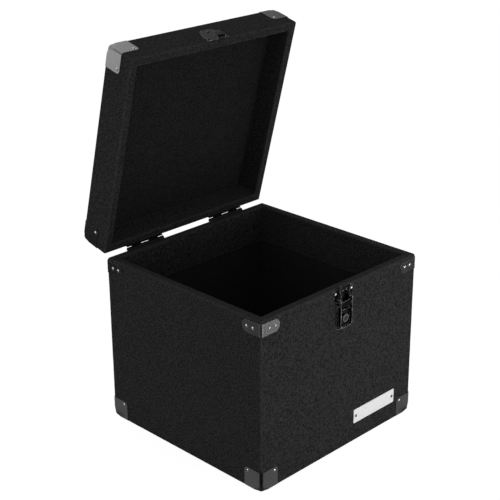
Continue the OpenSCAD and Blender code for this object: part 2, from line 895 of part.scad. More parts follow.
module lock_cylinder() {
    back = cam_out + cam_t;
    straight = lock_face_out - back - lock_chamfer;
    color(pale_aluminium) on_front() translate([0, lock_z, back]) difference() {
        union() {
            cylinder(r = lock_r, h = straight);
            translate([0, 0, straight]) cylinder(r1 = lock_r, r2 = lock_r - lock_chamfer, h = lock_chamfer);
        }
        translate([-key_slot_w / 2, -key_slot_l / 2, straight + lock_chamfer - key_slot_depth])
            cube([key_slot_w, key_slot_l, big]);
    }
}

module lock_cam() {
    color(gunmetal) on_front() translate([0, lock_z, cam_out]) linear_extrude(cam_t) {
        circle(r = cam_w / 2);
        translate([-cam_w / 2, -cam_len]) square([cam_w, cam_len]);
    }
}

// Side view of the claw: a roll round its pin, a leaning plate, then the upright bar
module claw_profile() {
    half = claw_t / 2;
    polygon([
        [claw_root_out - half, claw_pin_z], [claw_root_out + half, claw_pin_z],
        [bar_out + half, claw_bend_z], [bar_out + half, bar_top_z],
        [bar_out - half, bar_top_z], [bar_out - half, claw_bend_z]
    ]);
    translate([bar_out, bar_top_z]) circle(r = bead_r);
}

module latch_claw() {
    half = claw_w / 2;
    color(black_plating) difference() {
        union() {
            across(-half, half) claw_profile();
            on_latch_axis(claw_pin_out, claw_pin_z) cylinder(r = roll_r, h = claw_w, center = true);
        }
        on_latch_axis(claw_pin_out, claw_pin_z) cylinder(r = latch_pin_r + run_fit, h = big, center = true);
        on_front() translate([-window_w / 2, window_low_z, 0]) cube([window_w, window_h, big]);
    }
}

// Keeper on the lid, drawn in the lid's closed place
module keeper_outline() {
    half = plate_w / 2;
    low = lid_z + keeper_inset;
    top = lid_z + keeper_h;
    right_side = [
        [half - keeper_tip, low], [half, low + keeper_tip], [half, lid_z + keeper_shoulder],
        [half - keeper_cut_x, top - keeper_cut_z], [half - keeper_crown_x, top]
    ];
    left_side = [for (i = [len(right_side) - 1:-1:0]) [-right_side[i][0], right_side[i][1]]];
    polygon(concat(right_side, left_side));
}

// Side view of the hook: down from the plate, round under the claw's bar, and up again
module hook_profile() {
    translate([hook_outer_r, hook_z]) difference() {
        circle(r = hook_outer_r);
        circle(r = hook_r);
        translate([-big / 2, 0]) square([big, big]);
    }
    translate([0, hook_z - eps]) square([plate_t, lid_z + keeper_inset + keeper_tip - hook_z]);
    translate([hook_outer_r + hook_r, hook_z - eps]) square([plate_t, lid_z + hook_wall - hook_z]);
}

module keeper() {
    color(black_plating) open_lid() difference() {
        union() {
            on_front() linear_extrude(plate_t) keeper_outline();
            across(-hook_w / 2, hook_w / 2) hook_profile();
        }
        keeper_screw_sites() screw_hole();
    }
}

module keeper_screws() {
    color(gunmetal) open_lid() keeper_screw_sites() screw();
}

module nameplate() {
    r = nameplate_corner_r;
    color(pale_aluminium) difference() {
        on_front() translate([nameplate_x, nameplate_z, 0]) linear_extrude(nameplate_t) {
            square([nameplate_w - 2 * r, nameplate_h], center = true);
            square([nameplate_w, nameplate_h - 2 * r], center = true);
            for (x = [-1, 1], y = [-1, 1])
                translate([x * (nameplate_w / 2 - r), y * (nameplate_h / 2 - r)]) circle(r = r);
        }
        nameplate_sites() screw_hole();
    }
}

module nameplate_screws() {
    color(gunmetal) nameplate_sites() screw();
}

// Lid carcass, laid out closed
module lid_top_panel() {
    color(birch_ply) open_lid() difference() {
        box_on(lining_w, lining_d, lid_top_z - carpet_t - ply_t, lid_top_z - carpet_t);
        lid_holes();
    }
}

module lid_long_panel(rear) {
    color(birch_ply) open_lid() difference() {
        mirror([0, rear ? 1 : 0, 0]) translate([-shell_w / 2, -shell_d / 2, lid_z + carpet_t])
            cube([shell_w, ply_t, lid_top_z - lid_z - 2 * carpet_t]);
        lid_holes();
    }
}

module lid_side_panel(right) {
    color(birch_ply) open_lid() difference() {
        mirror([right ? 1 : 0, 0, 0]) translate([-shell_w / 2, -shell_d / 2 + ply_t, lid_z + carpet_t])
            cube([ply_t, shell_d - 2 * ply_t, lid_top_z - lid_z - 2 * carpet_t]);
        lid_holes();
    }
}

module lid_cover() {
    wrap = lid_roof_z + carpet_t - lid_z;
    color(black_carpet) open_lid() difference() {
        intersection() {
            rounded_block(case_w, case_d, lid_z, lid_top_z, edge_r);
            union() {
                translate([0, 0, lid_z]) carpet_walls(lid_top_z - lid_z, wrap);
                box_on(case_w, case_d, lid_top_z - carpet_t, lid_top_z);
            }
        }
        translate([0, 0, lid_z]) plywood_ring(lid_top_z - lid_z - carpet_t);
        lid_holes();
    }
}

module lid_lining() {
    color(black_carpet) open_lid() box_on(room_w, room_d, lid_roof_z, lid_roof_z + carpet_t);
}

// Handle on the lid's top, laid out folded towards the hinges
module bracket_ear() {
    translate([0, 0, lid_top_z]) {
        translate([0, -handle_ear_r, 0]) cube([ear_t, 2 * handle_ear_r, handle_pivot_h]);
        translate([0, 0, handle_pivot_h]) rotate([0, 90, 0]) cylinder(r = handle_ear_r, h = ear_t);
    }
}

module handle_bracket(side) {
    half = handle_eye_half + ear_t;
    color(gunmetal) open_lid() difference() {
        translate([side * handle_span / 2, 0, 0]) {
            translate([-half, -handle_plate_l / 2, lid_top_z]) cube([2 * half, handle_plate_l, handle_plate_t]);
            translate([handle_eye_half, 0, 0]) bracket_ear();
            translate([-half, 0, 0]) bracket_ear();
        }
        on_handle_axis() cylinder(r = handle_pin_r + seat_fit, h = big, center = true);
        rivet_sites() screw_hole();
    }
}

module on_handle_axis() {
    translate([0, 0, lid_top_z + handle_pivot_h]) rotate([0, 90, 0]) children();
}

module handle_bracket_rivets() {
    color(gunmetal) open_lid() rivet_sites() screw();
}

module handle_pins() {
    half = handle_eye_half + ear_t + handle_pin_end;
    color(gunmetal) open_lid() for (side = [-1, 1])
        translate([side * handle_span / 2, 0, 0]) on_handle_axis()
            cylinder(r = handle_pin_r, h = 2 * half, center = true);
}

// Half outline of the grip, swollen at its middle
module grip_profile() {
    half = handle_span / 2 - elbow_r;
    steps = 12;
    polygon(concat(
        [for (i = [0:steps]) let (s = i / steps) [arm_r + (grip_r - arm_r) * sin(180 * s), -half + 2 * half * s]],
        [[0, half], [0, -half]]
    ));
}

module handle() {
    arm_x = handle_span / 2;
    color(black_plastic) open_lid() translate([0, 0, lid_top_z + handle_pivot_h]) difference() {
        union() {
            translate([0, handle_reach, 0]) rotate([0, 90, 0]) rotate_extrude() grip_profile();
            for (side = [0, 1]) mirror([side, 0, 0]) {
                translate([arm_x - elbow_r, handle_reach - elbow_r, 0])
                    rotate_extrude(angle = 90) translate([elbow_r, 0]) circle(r = arm_r);
                translate([arm_x, 0, 0]) rotate([-90, 0, 0]) cylinder(r = arm_r, h = handle_reach - elbow_r);
                translate([arm_x, 0, 0]) rotate([0, 90, 0]) cylinder(r = arm_r, h = 2 * arm_r, center = true);
            }
        }
        rotate([0, 90, 0]) cylinder(r = handle_pin_r + run_fit, h = big, center = true);
    }
}

base_front_panel();
base_rear_panel();
base_side_panel(false);  // base_left_panel
base_side_panel(true);  // base_right_panel
base_bottom_panel();
base_cover();
base_underside();
base_lining();
floor_pad();
base_guard(false, false);  // base_guard_front_left
base_guard(true, false);  // base_guard_front_right
base_guard(false, true);  // base_guard_rear_left
base_guard(true, true);  // base_guard_rear_right
base_guard_screws();
rim_bracket(false, false);  // rim_bracket_front_left
rim_bracket(true, false);  // rim_bracket_front_right
rim_bracket(false, true);  // rim_bracket_rear_left
rim_bracket(true, true);  // rim_bracket_rear_right
rim_bracket_screws();
base_leaf(-1);  // base_leaf_left
base_leaf(1);  // base_leaf_right
hinge_pins();
base_leaf_screws();
latch_plate();
latch_plate_screws();
lever_pivots();
nameplate();
nameplate_screws();
latch_lever();
claw_pin();
lock_housing();
lock_cylinder();
lock_cam();
latch_claw();
lid_top_panel();
lid_long_panel(false);  // lid_front_panel
lid_long_panel(true);  // lid_rear_panel
lid_side_panel(false);  // lid_left_panel
lid_side_panel(true);  // lid_right_panel
lid_cover();
lid_lining();
lid_guard(false, false);  // lid_guard_front_left
lid_guard(true, false);  // lid_guard_front_right
lid_guard(false, true);  // lid_guard_rear_left
lid_guard(true, true);  // lid_guard_rear_right
lid_guard_screws();
lid_leaf(-1);  // lid_leaf_left
lid_leaf(1);  // lid_leaf_right
lid_leaf_screws();
keeper();
keeper_screws();
handle_bracket(-1);  // handle_bracket_left
handle_bracket(1);  // handle_bracket_right
handle_bracket_rivets();
handle_pins();
handle();
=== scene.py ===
"""Dresses the record carrying case: carpet, felt, plated metal, screws, handle, floor, lamps and camera."""
import logging
import math
from dataclasses import dataclass
from enum import Enum

import bmesh
import bpy
from bmesh.types import BMesh, BMFace
from bpy.types import Material, Node, NodeOutputs, NodeSocket, NodeTree, Object
from mathutils import Matrix, Vector, noise


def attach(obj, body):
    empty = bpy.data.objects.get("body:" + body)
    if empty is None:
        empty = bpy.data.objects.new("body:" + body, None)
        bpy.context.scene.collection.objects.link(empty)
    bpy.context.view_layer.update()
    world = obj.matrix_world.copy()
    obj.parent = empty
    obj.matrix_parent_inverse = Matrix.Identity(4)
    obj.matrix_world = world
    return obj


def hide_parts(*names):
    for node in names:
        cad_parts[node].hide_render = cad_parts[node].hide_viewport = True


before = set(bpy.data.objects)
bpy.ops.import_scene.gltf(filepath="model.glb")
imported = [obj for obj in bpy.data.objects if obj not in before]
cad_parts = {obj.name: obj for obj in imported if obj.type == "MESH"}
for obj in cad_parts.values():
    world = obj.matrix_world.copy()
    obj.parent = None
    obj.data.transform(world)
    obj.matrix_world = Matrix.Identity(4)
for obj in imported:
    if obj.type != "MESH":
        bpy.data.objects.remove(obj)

MM = 0.001
SEED = 7
MERGE = 1e-6
FLAT = 0.01
EASE_FROM = math.radians(32)
SOFT_SHARP = 80.0
QUARTER = math.pi / 2
EDGE_R = 4.5 * MM
BALL_R = 7.5 * MM
BALL_NEAR = 7.5 * MM
BALL_FAR = 17.0 * MM
# carpet edges that turn this sharply go pale: rubbed carpet and a painted sheen highlight
RUB_SHEEN_LOW = math.radians(10)
RUB_SHEEN_HIGH = math.radians(17)
WHITE = (1.0, 1.0, 1.0, 1.0)
HANDS = ("left", "right")
Point = tuple[float, float, float]
Value = NodeSocket | float
Triple = NodeSocket | Point
log = logging.getLogger("record_case")


class Body(str, Enum):
    """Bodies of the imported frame."""

    BASE = "base"
    LEVER = "lever"
    LOCK = "lock"
    CLAW = "claw"
    LID = "lid"
    HANDLE = "handle"


class Slot(str, Enum):
    """Material slots of the record."""

    PLYWOOD = "plywood"
    CARPET = "carpet"
    FELT = "dark_felt"
    GUNMETAL = "gunmetal"
    SCREW = "bright_screws"
    LATCH = "latch_metal"
    LOCK = "lock_metal"
    NAMEPLATE = "nameplate_metal"
    PLASTIC = "handle_plastic"


# Node building


class Graph:
    """Node tree, with short ways to add the nodes that are used often."""

    def __init__(self, tree: NodeTree) -> None:
        """Takes the tree."""
        self.tree = tree

    def feed(self, node: Node, inputs: dict) -> None:
        """Gives a node's inputs their values or sockets.

        Args:
            node: the node.
            inputs: values or sockets, by the inputs' names or numbers.
        """
        for key, value in inputs.items():
            if isinstance(value, NodeSocket):
                self.tree.links.new(value, node.inputs[key])
            else:
                node.inputs[key].default_value = value

    def add(self, kind: str, inputs: dict | None = None, **settings: object) -> Node:
        """Adds a node.

        Args:
            kind: the node's type.
            inputs: values or sockets for its inputs, by name or number.
            settings: other properties of the node.

        Returns:
            The new node.
        """
        node = self.tree.nodes.new(kind)
        for name, value in settings.items():
            setattr(node, name, value)
        self.feed(node, inputs or {})
        return node

    def calc(self, operation: str, *values: Value, clamp: bool = False) -> NodeSocket:
        """Works through values with Math nodes, from left to right.

        Args:
            operation: the nodes' operation.
            values: two or more values or sockets.
            clamp: whether the last result is held between 0 and 1.

        Returns:
            The last result.
        """
        result = values[0]
        for number, value in enumerate(values[1:], 2):
            held = clamp and number == len(values)
            node = self.add("ShaderNodeMath", {0: result, 1: value}, operation=operation, use_clamp=held)
            result = node.outputs[0]
        return result

    def vector(self, operation: str, *values: Triple, output: str = "Value") -> NodeSocket:
        """Adds a Vector Math node and gives one of its outputs."""
        return self.add("ShaderNodeVectorMath", dict(enumerate(values)), operation=operation).outputs[output]

    def noise(self, vector: Triple, scale: Value, detail: float = 2.0) -> NodeSocket:
        """Adds a Noise Texture and gives its value."""
        return self.add("ShaderNodeTexNoise", {"Vector": vector, "Scale": scale, "Detail": detail}).outputs[0]

    def cells(self, vector: Triple, scale: Value) -> NodeOutputs:
        """Adds a Voronoi Texture and gives its outputs."""
        return self.add("ShaderNodeTexVoronoi", {"Vector": vector, "Scale": scale}).outputs

    def remap(
        self, value: Value, low: float, high: float, to_low: Value = 0.0, to_high: Value = 1.0
    ) -> NodeSocket:
        """Maps a value from one range to another, and holds it there.

        Args:
            value: the socket to map.
            low: value that maps to to_low.
            high: value that maps to to_high.
            to_low: result at the low end.
            to_high: result at the high end.

        Returns:
            The mapped socket.
        """
        inputs = {"Value": value, "From Min": low, "From Max": high, "To Min": to_low, "To Max": to_high}
        return self.add("ShaderNodeMapRange", inputs, clamp=True).outputs["Result"]

    def blend(
        self, factor: Value, first: Triple | float, second: Triple | float, kind: str = "RGBA"
    ) -> NodeSocket:
        """Mixes two colours or two numbers.

        Args:
            factor: share of the second.
            first: first colour, as three numbers or a socket, or first number.
            second: the second one.
            kind: RGBA for colours or FLOAT for numbers.

        Returns:
            The mixed socket.
        """
        one, two, result = {"RGBA": (6, 7, 2), "FLOAT": (2, 3, 0)}[kind]
        first, second = [(*value, 1.0) if isinstance(value, tuple) else value for value in (first, second)]
        node = self.add("ShaderNodeMix", {"Factor": factor, one: first, two: second}, data_type=kind)
        return node.outputs[result]

    def layered(self, colour: Triple, *layers: tuple[Value, Triple]) -> NodeSocket:
        """Lays further colours over one.

        Args:
            colour: the first colour.
            layers: mask and colour of each further one.

        Returns:
            The mixed colour.
        """
        for mask, tone in layers:
            colour = self.blend(mask, colour, tone)
        return colour


class Group(Graph):
    """Node group with named inputs."""

    def __init__(self, name: str, inputs: dict[str, str], outputs: list[str], kind: str = "Shader") -> None:
        """Starts the group.

        Args:
            name: the group's name.
            inputs: kind of socket of each input.
            outputs: names of its outputs, which are values or, in a Geometry group, geometry.
            kind: Shader or Geometry.
        """
        super().__init__(bpy.data.node_groups.new(name, f"{kind}NodeTree"))
        result = "Float" if kind == "Shader" else "Geometry"
        for side, sockets in (("INPUT", inputs), ("OUTPUT", dict.fromkeys(outputs, result))):
            for label, socket in sockets.items():
                self.tree.interface.new_socket(label, in_out=side, socket_type=f"NodeSocket{socket}")
        self.given = self.add("NodeGroupInput").outputs
        self.sink = self.add("NodeGroupOutput")

    def ended(self, results: dict) -> NodeTree:
        """Links the results to the group's outputs and gives its tree."""
        self.feed(self.sink, results)
        return self.tree


class Effects:
    """Shader effects that several materials share, each a node group that is built once."""

    def __init__(self) -> None:
        """Builds the groups."""
        self.pile = self.fibre_pile()
        self.wear = self.edge_wear()
        self.grain = self.metal_grain()
        self.dust = self.settled_dust()

    def fibre_pile(self) -> NodeTree:
        """Makes the short looped fibre of carpet and felt.

        Returns:
            A group that puts out the fibre's shade, its height and a mask of pale flecks.
        """
        inputs = {"Vector": "Vector", "Scale": "Float", "Contrast": "Float"}
        group = Group("fibre_pile", inputs, ["Shade", "Height", "Fleck"])
        vector, scale = group.given["Vector"], group.given["Scale"]
        clump = group.remap(group.noise(vector, scale, 1.0), 0.34, 0.66)
        fibres = group.noise(vector, group.calc("MULTIPLY", scale, 2.6))
        fibre = group.remap(fibres, 0.32, 0.68)
        loops = group.cells(vector, group.calc("MULTIPLY", scale, 1.7))
        raised = group.remap(loops["Distance"], 0.05, 0.75, 1.0, 0.0)
        parts = ((clump, 0.5), (fibre, 0.25), (raised, 0.25))
        height = group.calc("ADD", *[group.calc("MULTIPLY", part, share) for part, share in parts])
        spread = group.calc("MULTIPLY", group.calc("SUBTRACT", height, 0.5), group.given["Contrast"])
        shade = group.calc("ADD", spread, 0.5, clamp=True)
        fleck = group.calc("MULTIPLY", group.remap(fibres, 0.62, 0.72), clump)
        return group.ended({"Shade": shade, "Height": height, "Fleck": fleck})

    def edge_wear(self) -> NodeTree:
        """Finds edges that rub bare.

        Returns:
            A group that puts out a mask of worn edges.
        """
        group = Group("edge_wear", {"Vector": "Vector", "Radius": "Float", "Amount": "Float"}, ["Worn"])
        rounded = group.add("ShaderNodeBevel", {"Radius": group.given["Radius"]}, samples=6)
        flat = group.add("ShaderNodeNewGeometry")
        facing = group.vector("DOT_PRODUCT", rounded.outputs["Normal"], flat.outputs["Normal"])
        edge = group.remap(group.calc("SUBTRACT", 1.0, facing), 0.01, 0.16)
        rubbed = group.remap(group.noise(group.given["Vector"], 160.0), 0.38, 0.62, 0.25, 1.0)
        return group.ended({"Worn": group.calc("MULTIPLY", edge, rubbed, group.given["Amount"], clamp=True)})

    def metal_grain(self) -> NodeTree:
        """Makes the brush lines and blotches of plated and brushed metal.

        Returns:
            A group that puts out blotches and brush lines.
        """
        inputs = {"Vector": "Vector", "Stretch": "Float", "Scale": "Float"}
        group = Group("metal_grain", inputs, ["Blotch", "Line"])
        squeezed = group.add("ShaderNodeCombineXYZ", {0: group.given["Stretch"], 1: 1.0, 2: 1.0})
        along = group.vector("MULTIPLY", group.given["Vector"], squeezed.outputs[0], output="Vector")
        line = group.remap(group.noise(along, group.given["Scale"], 4.0), 0.3, 0.7)
        blotch = group.remap(group.noise(group.given["Vector"], 220.0, 3.0), 0.35, 0.65)
        return group.ended({"Blotch": blotch, "Line": line})

    def settled_dust(self) -> NodeTree:
        """Lays thin dust where it gathers, and a rare speck of lint.

        Returns:
            A group that puts out a mask of dust and a mask of lint.
        """
        group = Group("settled_dust", {"Vector": "Vector", "Amount": "Float"}, ["Dust", "Lint"])
        vector = group.given["Vector"]
        patch = group.remap(group.noise(vector, 14.0, 5.0), 0.42, 0.72)
        grains = group.remap(group.noise(vector, 1100.0), 0.5, 0.7)
        dust = group.calc("MULTIPLY", patch, grains, group.given["Amount"])
        spots = group.cells(vector, 24.0)
        chosen = group.calc("GREATER_THAN", spots["Color"], 0.8)
        speck = group.remap(spots["Distance"], 0.012, 0.022, 1.0, 0.0)
        return group.ended({"Dust": dust, "Lint": group.calc("MULTIPLY", speck, chosen)})


# Finishes


class Surface(Graph):
    """Material with its Principled shader and its Object coordinates."""

    def __init__(self, name: str) -> None:
        """Starts the material.

        Args:
            name: the material's name.
        """
        self.material = bpy.data.materials.new(name)
        self.material.use_nodes = True
        super().__init__(self.material.node_tree)
        self.shader = self.tree.nodes["Principled BSDF"]
        self.spot = self.add("ShaderNodeTexCoord").outputs["Object"]

    def effect(self, group: NodeTree, **inputs: float) -> NodeOutputs:
        """Uses a shared effect on the Object coordinates and gives its outputs."""
        return self.add("ShaderNodeGroup", {"Vector": self.spot, **inputs}, node_tree=group).outputs

    def finished(self, inputs: dict, height: Value, strength: float, depth: float) -> Material:
        """Feeds the shader and raises the surface.

        Args:
            inputs: the shader's inputs.
            height: the height's socket.
            strength: strength of the relief.
            depth: the full height in metres.

        Returns:
            The material.
        """
        bump = self.add("ShaderNodeBump", {"Height": height, "Strength": strength, "Distance": depth})
        self.feed(self.shader, {**inputs, "Normal": bump.outputs["Normal"]})
        return self.material


@dataclass(frozen=True)
class FabricFinish:
    """Needled carpet or felt."""

    name: str
    dark: Point
    light: Point
    fleck: Point
    scale: float = 400.0
    contrast: float = 1.45
    depth: float = 0.8 * MM
    sheen: float = 0.02
    dust: float = 0.1
    # share of fleck colour on sharply turned edges: partly rubbed carpet, partly a painted sheen highlight
    rubbed: float = 0.17
    dust_tone: Point = (0.06, 0.058, 0.055)
    lint_tone: Point = (0.4, 0.4, 0.39)

    def material(self, effects: Effects) -> Material:
        """Builds the material.

        Args:
            effects: the shared effects.

        Returns:
            The material.
        """
        surface = Surface(self.name)
        turned = surface.add("ShaderNodeAttribute", attribute_name="rubbed").outputs["Fac"]
        pile = surface.effect(effects.pile, Scale=self.scale, Contrast=self.contrast)
        dust = surface.effect(effects.dust, Amount=self.dust)
        colour = surface.layered(
            surface.blend(pile["Shade"], self.dark, self.light),
            (pile["Fleck"], self.fleck),
            # turned edges go pale: rubbed carpet and a painted sheen highlight
            (surface.calc("MULTIPLY", turned, self.rubbed), self.fleck),
            (dust["Dust"], self.dust_tone),
            (dust["Lint"], self.lint_tone),
        )
        inputs = {
            "Base Color": colour, "Roughness": surface.remap(pile["Height"], 0.0, 1.0, 1.0, 0.82),
            "Specular IOR Level": 0.08, "Sheen Weight": self.sheen, "Sheen Roughness": 0.6,
        }
        return surface.finished(inputs, pile["Height"], 0.9, self.depth)


@dataclass(frozen=True)
class MetalFinish:
    """Plated, brushed or bare metal with bright worn edges; on the latch these pale edges are also painted
    highlights.
    """

    name: str
    colour: Point
    bare: Point = (0.55, 0.54, 0.52)
    roughness: float = 0.3
    variation: float = 0.12
    worn: float = 0.6
    wear_radius: float = 0.7 * MM
    stretch: float = 1.0
    scale: float = 900.0
    line_depth: float = 0.02 * MM
    dust: float = 0.1
    metallic: float = 1.0
    dull: float = 0.93
    matt_wear: float = 0.5
    dust_tone: Point = (0.3, 0.29, 0.27)

    def material(self, effects: Effects) -> Material:
        """Builds the material.

        Args:
            effects: the shared effects.

        Returns:
            The material.
        """
        surface = Surface(self.name)
        grain = surface.effect(effects.grain, Stretch=self.stretch, Scale=self.scale)
        worn = surface.effect(effects.wear, Radius=self.wear_radius, Amount=self.worn)["Worn"]
        dust = surface.effect(effects.dust, Amount=self.dust)["Dust"]
        dull = tuple(channel * self.dull for channel in self.colour)
        plated = surface.blend(grain["Blotch"], dull, self.colour)
        # worn edges lose their metal and show the pale bare colour; on the latch this is also a painted
        # highlight
        matt = surface.calc("MULTIPLY", worn, self.matt_wear)
        half = self.variation / 2
        spread = surface.remap(grain["Line"], 0.0, 1.0, self.roughness - half, self.roughness + half)
        smudge = surface.calc("MULTIPLY", grain["Blotch"], half)
        inputs = {
            "Base Color": surface.layered(plated, (worn, self.bare), (dust, self.dust_tone)),
            "Metallic": surface.calc("SUBTRACT", self.metallic, matt, clamp=True),
            "Roughness": surface.calc("ADD", spread, smudge, clamp=True),
        }
        return surface.finished(inputs, grain["Line"], 0.35, self.line_depth)


@dataclass(frozen=True)
class PlasticFinish:
    """Moulded plastic with a fine leather-like grain."""

    name: str
    colour: Point
    roughness: float = 0.42
    grain_scale: float = 850.0
    rub: float = 2.6
    dust_tone: Point = (0.12, 0.115, 0.11)

    def material(self, effects: Effects) -> Material:
        """Builds the material.

        Args:
            effects: the shared effects.

        Returns:
            The material.
        """
        surface = Surface(self.name)
        grain = surface.remap(surface.cells(surface.spot, self.grain_scale)["Distance"], 0.0, 0.6)
        worn = surface.effect(effects.wear, Radius=1.0 * MM, Amount=0.5)["Worn"]
        dust = surface.effect(effects.dust, Amount=0.3)["Dust"]
        rubbed = tuple(channel * self.rub for channel in self.colour)
        inputs = {
            "Base Color": surface.layered(surface.blend(worn, self.colour, rubbed), (dust, self.dust_tone)),
            "Roughness": surface.remap(grain, 0.0, 1.0, self.roughness - 0.08, self.roughness + 0.12),
        }
        return surface.finished(inputs, grain, 0.35, 0.08 * MM)


@dataclass(frozen=True)
class PlywoodFinish:
    """Birch plywood of the panels, with long grain across the sheet."""

    name: str
    pale: Point
    dark: Point

    def material(self, effects: Effects) -> Material:
        """Builds the material.

        Args:
            effects: the shared effects.

        Returns:
            The material.
        """
        surface = Surface(self.name)
        grain = surface.effect(effects.grain, Stretch=0.05, Scale=260.0)
        figure = surface.calc("MULTIPLY", grain["Line"], grain["Blotch"])
        inputs = {
            "Base Color": surface.blend(figure, self.pale, self.dark),
            "Roughness": surface.remap(grain["Line"], 0.0, 1.0, 0.5, 0.7),
        }
        return surface.finished(inputs, grain["Line"], 0.3, 0.1 * MM)


def grey(tone: float) -> Point:
    """Gives a neutral colour."""
    return (tone, tone, tone)


class Finishes:
    """Every finish of the case, built once."""

    def __init__(self) -> None:
        """Builds the materials."""
        effects = Effects()
        finishes = {
            "carpet": FabricFinish("black_carpet", grey(0.005), grey(0.034), grey(0.07)),
            # darker copy of the same carpet for the lid's inside: painted shade of the lid's hollow
            "lid_lining": FabricFinish("lid_lining_carpet", grey(0.0035), grey(0.019), grey(0.035)),
            "felt": FabricFinish(
                "black_felt", grey(0.006), grey(0.022), grey(0.035), scale=800.0, depth=0.4 * MM,
            ),
            "gunmetal": MetalFinish(
                "gunmetal_plating", grey(0.28), roughness=0.24, variation=0.06, worn=0.2,
                line_depth=0.005 * MM, dust=0.02, matt_wear=0.2,
            ),
            "hinge": MetalFinish("hinge_black_steel", (0.05, 0.05, 0.051), roughness=0.34, worn=0.4),
            "screw": MetalFinish(
                "bright_screw_steel", (0.8, 0.79, 0.78), roughness=0.22, worn=0.2, dust=0.02, matt_wear=0.0,
            ),
            "black_screw": MetalFinish("black_screw_steel", (0.06, 0.06, 0.062), roughness=0.26, worn=0.5),
            # strong pale matt edges of the latch and keeper: partly wear, partly painted highlights
            "latch": MetalFinish(
                "latch_dark_plating", (0.022, 0.022, 0.0235), (0.75, 0.74, 0.72), roughness=0.18, worn=1.5,
                wear_radius=0.65 * MM, dust=0.03, matt_wear=0.85,
            ),
            "pin": MetalFinish("pin_plating", (0.32, 0.32, 0.325), roughness=0.22, worn=0.7),
            "lock": MetalFinish("lock_nickel", (0.09, 0.0885, 0.086), roughness=0.25, worn=0.3),
            "nameplate": MetalFinish(
                "satin_aluminium", grey(0.88), grey(0.92), roughness=0.42, variation=0.08,
                worn=0.3, stretch=0.03, scale=1500.0, dust=0.03, metallic=0.14,
            ),
            "plastic": PlasticFinish("handle_black_plastic", (0.012, 0.012, 0.0125)),
            "plywood": PlywoodFinish("birch_plywood", (0.62, 0.47, 0.30), (0.42, 0.29, 0.16)),
        }
        self.made = {key: finish.material(effects) for key, finish in finishes.items()}

    def __getitem__(self, key: str) -> Material:
        """Gives a finish's material."""
        return self.made[key]


# Meshes


def finish_piece(
    obj: Object, body: Body, slot: Slot, material: Material, *nodes: str
) -> Object:
    """Gives a piece its finish and its body, and hides the CAD nodes that it stands for.

    Args:
        obj: the piece.
        body: the body that carries it.
        slot: the record's slot; not used.
        material: its material.
        nodes: the CAD nodes that it replaces.

    Returns:
        The piece.
    """
    obj.data.materials.clear()
    obj.data.materials.append(material)
    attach(obj, body.value)
    if nodes:
        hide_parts(*nodes)
    log.info("%s: %d faces on %s", obj.name, len(obj.data.polygons), body.value)
    return obj


def linked(name: str, data: bpy.types.ID) -> Object:
    """Adds an object to the scene.

    Args:
        name: the object's name.
        data: its mesh, lamp or camera.

    Returns:
        The object.
    """
    obj = bpy.data.objects.new(name, data)
    bpy.context.scene.collection.objects.link(obj)
    return obj


def mesh_object(name: str, bm: BMesh, sharp_deg: float = 35.0) -> Object:
    """Turns a bmesh into a smooth-shaded object at the origin.

    Args:
        name: the object's name.
        bm: its mesh, which is freed.
        sharp_deg: angle above which an edge stays sharp.

    Returns:
        The object.
    """
    mesh = bpy.data.meshes.new(name)
    bm.to_mesh(mesh)
    bm.free()
    mesh.shade_smooth()
    mesh.set_sharp_from_angle(angle=math.radians(sharp_deg))
    return linked(name, mesh)


def baked(obj: Object) -> Object:
    """Turns an object's modifiers into its plain mesh.

    Args:
        obj: the object.

    Returns:
        The same object, without modifiers.
    """
    bpy.context.view_layer.update()
    graph = bpy.context.evaluated_depsgraph_get()
    mesh = bpy.data.meshes.new_from_object(obj.evaluated_get(graph), depsgraph=graph)
    obj.modifiers.clear()
    old = obj.data
    obj.data = mesh
    if old.users == 0:
        bpy.data.meshes.remove(old)
    mesh.name = obj.name
    return obj


def grown(
    name: str, spots: list, edges: list, label: str, marks: list, tree: NodeTree, values: dict
) -> Object:
    """Grows a piece on points or along a path with a Geometry Nodes tree.

    Args:
        name: the piece's name.
        spots: the points in metres.
        edges: pairs of points that are joined.
        label: name of the attribute that the points carry.
        marks: its value at each point, a number or a direction.
        tree: the Geometry Nodes tree.
        values: the tree's inputs by name.

    Returns:
        The piece, with a plain mesh.
    """
    mesh = bpy.data.meshes.new(name)
    mesh.from_pydata([tuple(spot) for spot in spots], edges, [])
    kind, field = ("FLOAT_VECTOR", "vector") if isinstance(marks[0], Vector) else ("FLOAT", "value")
    for entry, mark in zip(mesh.attributes.new(label, kind, "POINT").data, marks):
        setattr(entry, field, mark)
    obj = linked(name, mesh)
    modifier = obj.modifiers.new("grow", "NODES")
    modifier.node_group = tree
    for item in tree.interface.items_tree:
        if item.item_type == "SOCKET" and item.in_out == "INPUT" and item.name in values:
            modifier[item.identifier] = values[item.name]
    return baked(obj)


def node_bmesh(node: str) -> BMesh:
    """Copies a CAD node's mesh with its doubles merged.

    Args:
        node: the CAD node's name.

    Returns:
        The copy.
    """
    bm = bmesh.new()
    bm.from_mesh(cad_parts[node].data)
    bmesh.ops.remove_doubles(bm, verts=bm.verts, dist=MERGE)
    return bm


def merged_copy(node: str) -> BMesh:
    """Copies a CAD node's mesh with its doubles merged and its flat faces joined.

    Args:
        node: the CAD node's name.

    Returns:
        The copy.
    """
    bm = node_bmesh(node)
    bmesh.ops.dissolve_limit(bm, angle_limit=FLAT, verts=bm.verts, edges=bm.edges)
    return bm


def eased_mesh(bm: BMesh, name: str, radius: float, segments: int = 2) -> Object:
    """Turns a mesh into a piece with its hard edges rounded.

    Args:
        bm: the mesh, which is freed.
        name: the new piece's name.
        radius: radius of the rounded edges in metres.
        segments: faces across each rounded edge.

    Returns:
        The piece.
    """
    obj = mesh_object(name, bm)
    bevel = obj.modifiers.new("ease", "BEVEL")
    bevel.width = radius
    bevel.segments = segments
    bevel.limit_method = "ANGLE"
    bevel.angle_limit = EASE_FROM
    bevel.harden_normals = True
    bevel.use_clamp_overlap = True
    return baked(obj)


